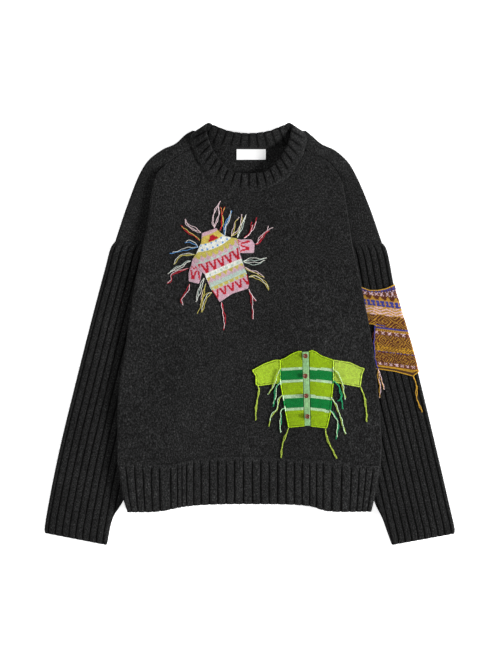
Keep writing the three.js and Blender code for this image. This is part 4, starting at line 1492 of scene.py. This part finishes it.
SLEEVE_YARNS = [
    ([[(212, -60), (214, -67), (219, -82), (222, -94)], [(212, -60), (213, -75), (215, -87), (215, -108)]],
     [("shell", 0.7, 1), ("gold", -0.6, 0.97)]),
    ([[(270, -71), (275, -83), (277, -111), (286, -131)]], [("old_gold", 0.4, 1), ("gold", -0.4, 0.98)]),
]


def make_yarns(prefix, yarns, surface, clear, radius, spread=1.0):
    made = []
    for i, (routes, strands) in enumerate(yarns):
        skein = Skein()
        for r, route in enumerate(routes):
            for k, (dye, bow, reach) in enumerate(strands):
                line = yarn_line(route, bow * spread, reach, surface, clear, i + 3 * r + k)
                skein.lay(line, DYES[dye], radius)
        name = f"{prefix}_yarn_{i + 1:02d}"
        made.append(keep(skein.piece(f"{prefix}_yarn_end_{i + 1:02d}", end_wool), "yarn", name))
    return made


def edge_cord(skein, corners, dye, surface, radius=0.5, closed=True):
    """The rolled selvedge of a motif, a cord along its outline."""
    line = straight(*corners, corners[0], step=1.2) if closed else straight(*corners, step=1.2)
    z = surface(line[:, 0], line[:, 1])
    dyes = dye if callable(dye) else (lambda p: dye)
    line = np.column_stack([line, z])
    length = spans(line)[-1]
    pieces = max(1, round(length / 9))
    marks = np.linspace(0, length, pieces + 1)
    for a, b in zip(marks[:-1], marks[1:]):
        part = at_lengths(line, np.linspace(a, b, 9))
        skein.lay(part, dyes(part[4]), radius, pitch=3.0, step=1.1, fray=False)


# ---- building the motifs ----
PULLOVER_STITCH = (1.4, 1.3)  # width and height of a stitch
PULLOVER_SLEEVE_STITCH = (1.45, 1.35)
CARDIGAN_STITCH = (1.65, 1.45)
PLACKET_STITCH = (2.2, 1.5)


def make_panel(name, finish, edge, chart, dye, under, stitch, margin, wide=None):
    """One panel: its felted ground, which stands for the node, and its stitches, which may go out further."""
    base = keep(motif_base(f"{name}_ground", edge, under), finish, name)
    top = keep(lay_stitches(f"{name}_stitches", wide or edge, chart, dye, *stitch, margin), finish)
    return base, [top], edge


def make_pullover():
    def dye_of(place):
        return np.array(banded(PULLOVER_BANDS, *pullover_chart(place)))

    body_gap_shadow, sleeve_gap_shadow = 0.55, 0.6  # painted shadow: the ground that shows between the stitches is darkened to this share of its dye

    pieces = [
        make_panel(
            "pullover_body", "pullover_knit", PULLOVER_BODY, pullover_frame,
            lambda u, d, x, y: banded(PULLOVER_BANDS, u, d), lambda p: dye_of(p) * body_gap_shadow, PULLOVER_STITCH, 0.9,
        )
    ]
    pink = np.array(DYES["pink"])
    for i in (0, 1):
        pieces.append(make_panel(
            f"pullover_sleeve_{SIDES[i]}", "pullover_knit", PULLOVER_SLEEVES[i], pullover_sleeve_frame(i),
            lambda u, d, x, y: banded(SLEEVE_BANDS, u, d), lambda p: pink * sleeve_gap_shadow, PULLOVER_SLEEVE_STITCH, 0.9,
        ))
    skein = Skein()
    rim_height = lambda x, y: on_front(x, y) + 0.75
    edge_cord(skein, PULLOVER_BODY, dye_of, rim_height, 0.45)
    for edge in PULLOVER_SLEEVES:
        edge_cord(skein, edge[1:-1], pink, rim_height, 0.42, closed=False)
    pieces[0][1].append(keep(skein.piece("pullover_selvedge", motif_wool), "pullover_knit"))
    return pieces


def placket_edge(i, y):
    """X of a side of the button band."""
    return np.interp(y, (-153.5, -31), (PLACKET_FOOT[i], PLACKET_TOP[i]))


def cardigan_band(i, x, y):
    """Dye of a cardigan front at a place: stripes that droop away from the button band."""
    droop = 0.055 if i == 0 else np.interp(y, (-140, -56), (0.17, 0.075))
    level = y + droop * abs(x - placket_edge(i, y))
    return np.array(DYES[next((dye for foot, dye in CARDIGAN_BANDS if level > foot), "lime")])


def make_cardigan():
    pieces, skein = [], Skein()
    rim_height = lambda x, y: on_front(x, y) + 1.25
    # Painted shadow: the ground that shows between the stitches is darkened to 0.4 of its dye.
    rim_bright, ground_shadow = 1.35, 0.4
    for i in (0, 1):
        edge = CARDIGAN_FRONTS[i]
        row = unit(np.array([1.0, (0.055, -0.11)[i]]))
        start = np.array([PLACKET_TOP[i], -28.0])
        # Beside the button band the stitches run up to the edge.
        wide = [(x + (1.3, -1.3)[i] * (abs(x - placket_edge(i, y)) < 2), y) for x, y in edge]
        pieces.append(make_panel(
            f"cardigan_front_{SIDES[i]}", "cardigan_knit", edge,
            lambda u, d: start + row * u + np.array([0.02, -1.0]) * d,
            lambda u, d, x, y: cardigan_band(i, x, y), lambda p: cardigan_band(i, *p[:2]) * ground_shadow,
            CARDIGAN_STITCH, 2.0, wide,
        ))
        free = edge[5:] + edge[:5] if i == 0 else edge
        edge_cord(skein, free, lambda p: cardigan_band(i, *p[:2]) * rim_bright, rim_height, 0.6, closed=False)

        arm = CARDIGAN_SLEEVES[i]
        lean = [np.array([-0.95, -0.31]), np.array([0.97, -0.24])][i]
        across = np.array([-lean[1], lean[0]])
        root = [np.array([50.0, -64.0]), np.array([137.0, -62.0])][i]
        shade = np.array(DYES[("fresh_lime", "bright_lime")[i]])
        pieces.append(make_panel(
            f"cardigan_sleeve_{SIDES[i]}", "cardigan_knit", arm, lambda u, d: root + across * u + lean * d,
            lambda *_: shade, lambda p: shade * ground_shadow, CARDIGAN_STITCH, 2.0,
        ))
        edge_cord(skein, arm, shade * rim_bright, rim_height, 0.6)
    sage = np.array(DYES["sage"])
    # Painted shadow: the band's ground between its stitches is darkened to 0.6 of the sage.
    pieces.append(make_panel(
        "cardigan_placket", "cardigan_knit", CARDIGAN_PLACKET,
        lambda u, d: np.array([91.5 + 0.03 * d + u, -29.0 - d]),
        lambda *_: sage, lambda p: sage * 0.6, PLACKET_STITCH, 0.3,
    ))
    pieces[0][1].append(keep(skein.piece("cardigan_selvedge", motif_wool), "cardigan_knit"))
    return pieces


# ---- buttons ----
def make_buttons():
    made = []
    radius, high = 3.9, 2.1
    profile = [
        (0.0, 0.0), (2.6, 0.0), (3.4, 0.35), (3.8, 0.9), (radius, 1.35), (3.75, 1.8), (3.4, high), (3.0, high - 0.05),
        (2.65, 1.8), (2.2, 1.55), (1.2, 1.4), (0.0, 1.38),
    ]
    sides = 48
    hole_circle, hole_radius, turned = 1.0, 0.42, 0.2  # each button is turned a little more than the last
    for i, (x, y) in enumerate(BUTTON_PLACES):
        name = f"button_{i + 1}"
        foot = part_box(name)[0].z / MM
        points = [(x, y, foot)]
        for r, z in profile[1:-1]:
            a = np.arange(sides) * 2 * math.pi / sides
            points += list(zip(x + r * np.cos(a), y + r * np.sin(a), np.full(sides, foot + z)))
        points.append((x, y, foot + profile[-1][1]))
        last = len(points) - 1
        faces = []
        for j in range(sides):
            k = (j + 1) % sides
            faces.append((0, 1 + k, 1 + j))
            for ring in range(len(profile) - 3):
                a = 1 + ring * sides
                faces.append((a + j, a + k, a + sides + k, a + sides + j))
            a = 1 + (len(profile) - 3) * sides
            faces.append((a + j, a + k, last))
        disc = piece(name + "_disc", np.array(points), faces, corozo)
        for hole in range(4):
            angle = math.pi / 4 + hole * math.pi / 2 + turned * i
            away = hole_circle * math.cos(angle), hole_circle * math.sin(angle)
            centre = metres([(x + away[0], y + away[1], foot + 1)])[0]
            bpy.ops.mesh.primitive_cylinder_add(vertices=16, radius=hole_radius * MM, depth=4 * MM, location=centre)
            cutter = bpy.context.object
            cut = disc.modifiers.new("hole", "BOOLEAN")
            cut.operation = "DIFFERENCE"
            cut.solver = "EXACT"
            cut.object = cutter
            bpy.context.view_layer.update()
            graph = bpy.context.evaluated_depsgraph_get()
            new = bpy.data.meshes.new_from_object(disc.evaluated_get(graph))
            disc.modifiers.clear()
            disc.data = new
            bpy.data.objects.remove(cutter)
        keep(disc, "button", name)
        thread = Skein()
        for cross in (0, 1):
            a = math.pi / 4 + cross * math.pi / 2 + turned * i
            ends = np.array([math.cos(a), math.sin(a)])
            over = 1.75 + 0.2 * cross
            stitch = ((-1.0, 0.4), (-1.0, 1.4), (-0.6, over), (0.6, over), (1.0, 1.4), (1.0, 0.4))
            line = np.array([(x + ends[0] * t, y + ends[1] * t, foot + h) for t, h in stitch])
            thread.lay(line, DYES["brown"], 0.16, pitch=1.2, step=0.4, fray=False)
        made.append(keep(thread.piece(name + "_thread", end_wool), "yarn"))
    return made


# ---- the patterned piece on the left sleeve ----
PATCH_HEAD = [(174, 74), (184, 76), (198, 71), (212, 71), (226, 74), (243, 82)]
PATCH_FOOT = [(207, -59), (241, -64), (270, -72), (277, -66), (281, -60)]
PATCH_SIDE = [(174, 76), (186, 17), (207.5, 13.5), (205, -12), (206, -35), (208, -62)]
PATCH_LONG = 133.0  # from head to foot, as charted
PATCH_LEVELS = (72.5, -58.1)  # Y of its head and foot where X is PATCH_MIDDLE
PATCH_MIDDLE = 200
COURSE_SLOPE = 0.123
OUTWARDS = np.array([0.971, 0.239])  # from the sleeve's outer fold, in plan


def level_of(line, x):
    line = np.array(line, float)
    return np.interp(x, line[:, 0], line[:, 1])


def patch_point(share, girth):
    """A place on the patch and its outward direction.

    The share is from head to foot, and the girth from the fold's middle."""
    r = SLEEVE_RADIUS
    turn = min(girth / r, math.pi / 2)
    in_from_fold = r * (1 - math.cos(turn)) + max(0.0, girth - r * math.pi / 2)
    high = r + r * math.sin(turn)
    fold = smooth_line(SLEEVE_FOLD[1])
    head, foot = PATCH_LEVELS
    y = 70 - 130 * share
    for _ in range(4):
        x = np.interp(-y, -fold[:, 1], fold[:, 0]) - in_from_fold * 1.03
        slant = COURSE_SLOPE * (x - PATCH_MIDDLE)
        y = head + (foot - head) * share - slant
        # Only the first and last courses bend, along the cut edges.
        y += (level_of(PATCH_HEAD, x) - head + slant) * (1 - ease(share / 0.08))
        y += (level_of(PATCH_FOOT, x) - foot + slant) * ease((share - 0.93) / 0.07)
    normal = np.array([*(OUTWARDS * math.cos(turn)), math.sin(turn)])
    return np.array([x, y, high]), normal


def patch_reach(share):
    """Girth at which the patch ends at its inner side."""
    reach = 40.0
    for _ in range(6):
        place = patch_point(share, reach)[0]
        side = np.array(PATCH_SIDE, float)
        reach += (place[0] - np.interp(-place[1], -side[:, 1], side[:, 0])) * 0.97
    return reach


PATCH_START = -3.0  # the patch goes on this far past the fold's middle, underneath


def sleeve_top(x, y):
    return np.full(np.shape(x), 2 * SLEEVE_RADIUS)


def make_patch():
    rows = np.linspace(0, 1, 90)
    columns = 46
    outer, inner, dyes = [], [], []
    for share in rows:
        end = patch_reach(share)
        for g in np.linspace(PATCH_START, end, columns):
            place, normal = patch_point(share, g)
            outer.append(place + normal * (SEAM_GAP + 0.9))
            inner.append(place + normal * SEAM_GAP)
            # Painted shadow: the ground between the stitches is darkened to 0.4 of its dye.
            dyes.append(np.array(banded(PATCH_BANDS, g, share * PATCH_LONG)) * 0.4)
    shape = (len(rows), columns, 3)
    outer, inner = np.array(outer).reshape(shape), np.array(inner).reshape(shape)
    base = shell("sleeve_motif_ground", outer, inner, motif_wool, dyes=dyes)
    keep(base, "sleeve_knit", "sleeve_motif")

    width, height = 1.6, 1.4
    places, normals, acrosses, colours = [], [], [], []
    courses = int(PATCH_LONG * 1.05 / height)
    for course in range(courses):
        share = (course + 0.5) / courses
        end = patch_reach(share)
        for wale in range(int((end - PATCH_START) / width)):
            g = end - (wale + 0.5) * width
            place, normal = patch_point(share, g)
            places.append(place + normal * (SEAM_GAP + 1.0))
            normals.append(normal)
            flat = np.array([*-OUTWARDS, 0.0])
            acrosses.append(flat - normal * np.dot(flat, normal) + np.array([0, 0, -1e-4 * normal[0]]))
            colours.append(banded(PATCH_BANDS, g, share * PATCH_LONG))
    acrosses = -unit(np.array(acrosses))
    stitches = knit("sleeve_motif_stitches", np.array(places), acrosses, np.array(normals), colours,
                    width, height, 1.1, motif_wool, UNEVEN)
    keep(stitches, "sleeve_knit")

    skein = Skein()
    for share in (0.004, 0.996):
        end = patch_reach(share)
        line = []
        for g in np.linspace(PATCH_START, end, 60):
            place, normal = patch_point(share, g)
            line.append(place + normal * 1.4)
        skein.lay(np.array(line), DYES["old_gold"], 0.6, pitch=3.2, step=1.1, fray=False)
    side = lambda t, xy, seed: np.full(len(t), 1.9) + 0.3 * np.sin(t * 7 + seed)
    # Loose strands along the sides: route, bow, seed, dye, radius, and whether the end frays.
    strands = [
        ([(207, 13), (206.5, -12), (207, -35), (211, -60)], -0.8, 2, "royal", 0.5, False),
        ([(206, 12), (213, 14), (224, 11)], 0.4, 4, "royal", 0.45, True),
        ([(212, 11), (205, -2), (203, -12), (207, -24)], -1.4, 5, "brown", 0.32, True),
        ([(210, -14), (209, -30), (203, -38), (207, -42)], 1.2, 6, "old_gold", 0.32, True),
        ([(188, 17), (200, 15), (212, 12)], 0.2, 8, "old_gold", 0.55, False),
    ]
    for route, bow, seed, dye, radius, fray in strands:
        skein.lay(yarn_line(route, bow, 1, sleeve_top, side, seed), DYES[dye], radius, fray=fray)
    rims = keep(skein.piece("sleeve_motif_selvedge", motif_wool), "sleeve_knit")
    return base, [stitches, rims]


# ---- the linked seam: a chain of small stitches in the garment's own wool ----
LINK_STITCH = (2.3, 1.9, 0.9)  # width, height and thickness
LINK_TONE = 0.0155


def make_linking():
    """The chain that joins the collar to the front."""
    width, height, thick = LINK_STITCH
    reach = int(0.2 * len(BASE_RING))
    ring = np.concatenate([BASE_RING[-reach:], BASE_RING[:reach]])[:, :2]
    ring = ring + unit(ring - (NECK_MIDDLE, 300)) * 2.0
    spot = at_lengths(ring, np.arange(height / 2, spans(ring)[-1], height))
    tangent = np.column_stack([unit(np.gradient(spot, axis=0)), np.zeros(len(spot))])
    spot = np.column_stack([spot, front_top(spot[:, 0], spot[:, 1]) + 0.1])
    normal = np.tile((0.0, 0.0, 1.0), (len(spot), 1))
    dyes = np.tile((LINK_TONE, LINK_TONE, LINK_TONE * 1.02), (len(spot), 1))
    across = unit(np.cross(tangent, normal))
    return knit("collar_linking", spot, across, normal, dyes, width, height, thick, plain_wool)


# ---- wool halo: short loose fibres along the folds and edges ----
def make_halo(name, edges, material):
    """Thin curved fibres that stand out of the given lines; each line comes with its outward side."""
    chance = np.random.default_rng(7)
    skein = Skein()
    spacing = 0.9
    for line, side in edges:
        length = spans(line)[-1]
        s = np.arange(0, length, spacing) + chance.uniform(0, spacing, int(np.ceil(length / spacing)))
        root = at_lengths(line, np.clip(s, 0, length))
        tangent = unit(np.gradient(root, axis=0))
        out = np.column_stack([tangent[:, 1], -tangent[:, 0], np.zeros(len(root))]) * side
        for place, away, along in zip(root, out, tangent):
            lean = chance.normal(0, 0.7)
            reach = chance.uniform(0.8, 2.6)
            tip = away * reach + along * lean * reach + (0, 0, chance.uniform(-0.6, 1.0))
            bend = along * chance.normal(0, 0.35) + (0, 0, chance.uniform(0, 0.4))
            middle = place + tip * 0.5 + bend
            fibre = np.array([place - away * 0.8, middle, place + tip])
            skein.take(*tube(fibre, 0.1, 3), DYES["wool"])
    return skein.piece(name, material)


# ---- the sweater ----
make_stage()
front, front_shape = make_front()
keep(front, "wool_plain", "front")
back, back_shape = make_back()
set_painted_shade(back.data, np.full(len(back.data.vertices), 0.1))  # painted shade: the inside of the back, deep in the neck, is darkened a little
keep(back, "wool_plain", "back")
hem_front = keep(make_hem("hem_front_rib", hem_front_low, hem_front_top, True), "wool_rib", "hem_front")
hem_back = keep(make_hem("hem_back_rib", lift, hem_back_top, False), "wool_rib", "hem_back")
collar, collar_length = make_collar()
keep(collar, "wool_rib", "collar")
label = keep(make_label(), "label", "label")
shoulders = [keep(make_shoulder(i), "wool_plain", f"{SIDES[i]}_shoulder") for i in (0, 1)]
sleeves = []
for i in (0, 1):
    sleeves.append(make_sleeve(i))
    keep(sleeves[i][0], "wool_rib", f"{SIDES[i]}_sleeve")

pullover = make_pullover()
cardigan = make_cardigan()
button_threads = make_buttons()
patch, patch_parts = make_patch()


def over_motif(panels):
    return on_cloth([motif_outline(edge, 3.0)[0] for _, _, edge in panels])


pullover_ends = make_yarns("pullover", PULLOVER_YARNS, front_top, over_motif(pullover), 0.29, 1.5)
cardigan_ends = make_yarns("cardigan", CARDIGAN_YARNS, front_top, over_motif(cardigan), 0.45)
sleeve_ends = make_yarns("sleeve", SLEEVE_YARNS, sleeve_top, on_cloth([]), 0.4, 1.5)
linking = keep(make_linking(), "wool_plain")


def edge_line(knots, high):
    line = soft(knots, 3.0)
    return np.column_stack([line, np.full(len(line), high)])


folds = []
for i in (0, 1):
    turned = 1 if i else -1
    folds += [
        (edge_line(SHOULDER_FOLD[i], 3.4), -turned), (edge_line(SLEEVE_FOLD[i], 4.4), -turned),
        (edge_line(HEM_SIDE[i], 12.0), -turned),
        (edge_line([SLEEVE_FOLD[i][-1], SLEEVE_UNDER[i][-1]], 5.0), turned),
    ]
folds += [(edge_line(HEM_LINE, 8.0), 1)]
rim = TOP_RING[np.r_[0 : len(TOP_RING), 0]]
folds += [(rim, 1)]
halo = keep(make_halo("wool_halo", folds, end_wool), "wool_rib")


# ---- sizes of each panel's outline, in metres, worked out and not kept ----
def cut(edge):
    """Width, length and area of a panel's outline."""
    size = (edge.max(0) - edge.min(0)) * MM
    return (float(size[0]), float(size[1])), abs(signed_area(edge)) * MM**2


flat, area = cut(front_shape[0])
flat, area = cut(back_shape[0])
for (base, parts, edge), ends in [(pullover[0], pullover_ends), (cardigan[0], cardigan_ends + button_threads)]:
    flat, area = cut(np.asarray(edge, float))
    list(parts)
    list(ends)
for base, parts, edge in [*pullover[1:], *cardigan[1:]]:
    flat, area = cut(np.asarray(edge, float))
    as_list(parts)
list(patch_parts)
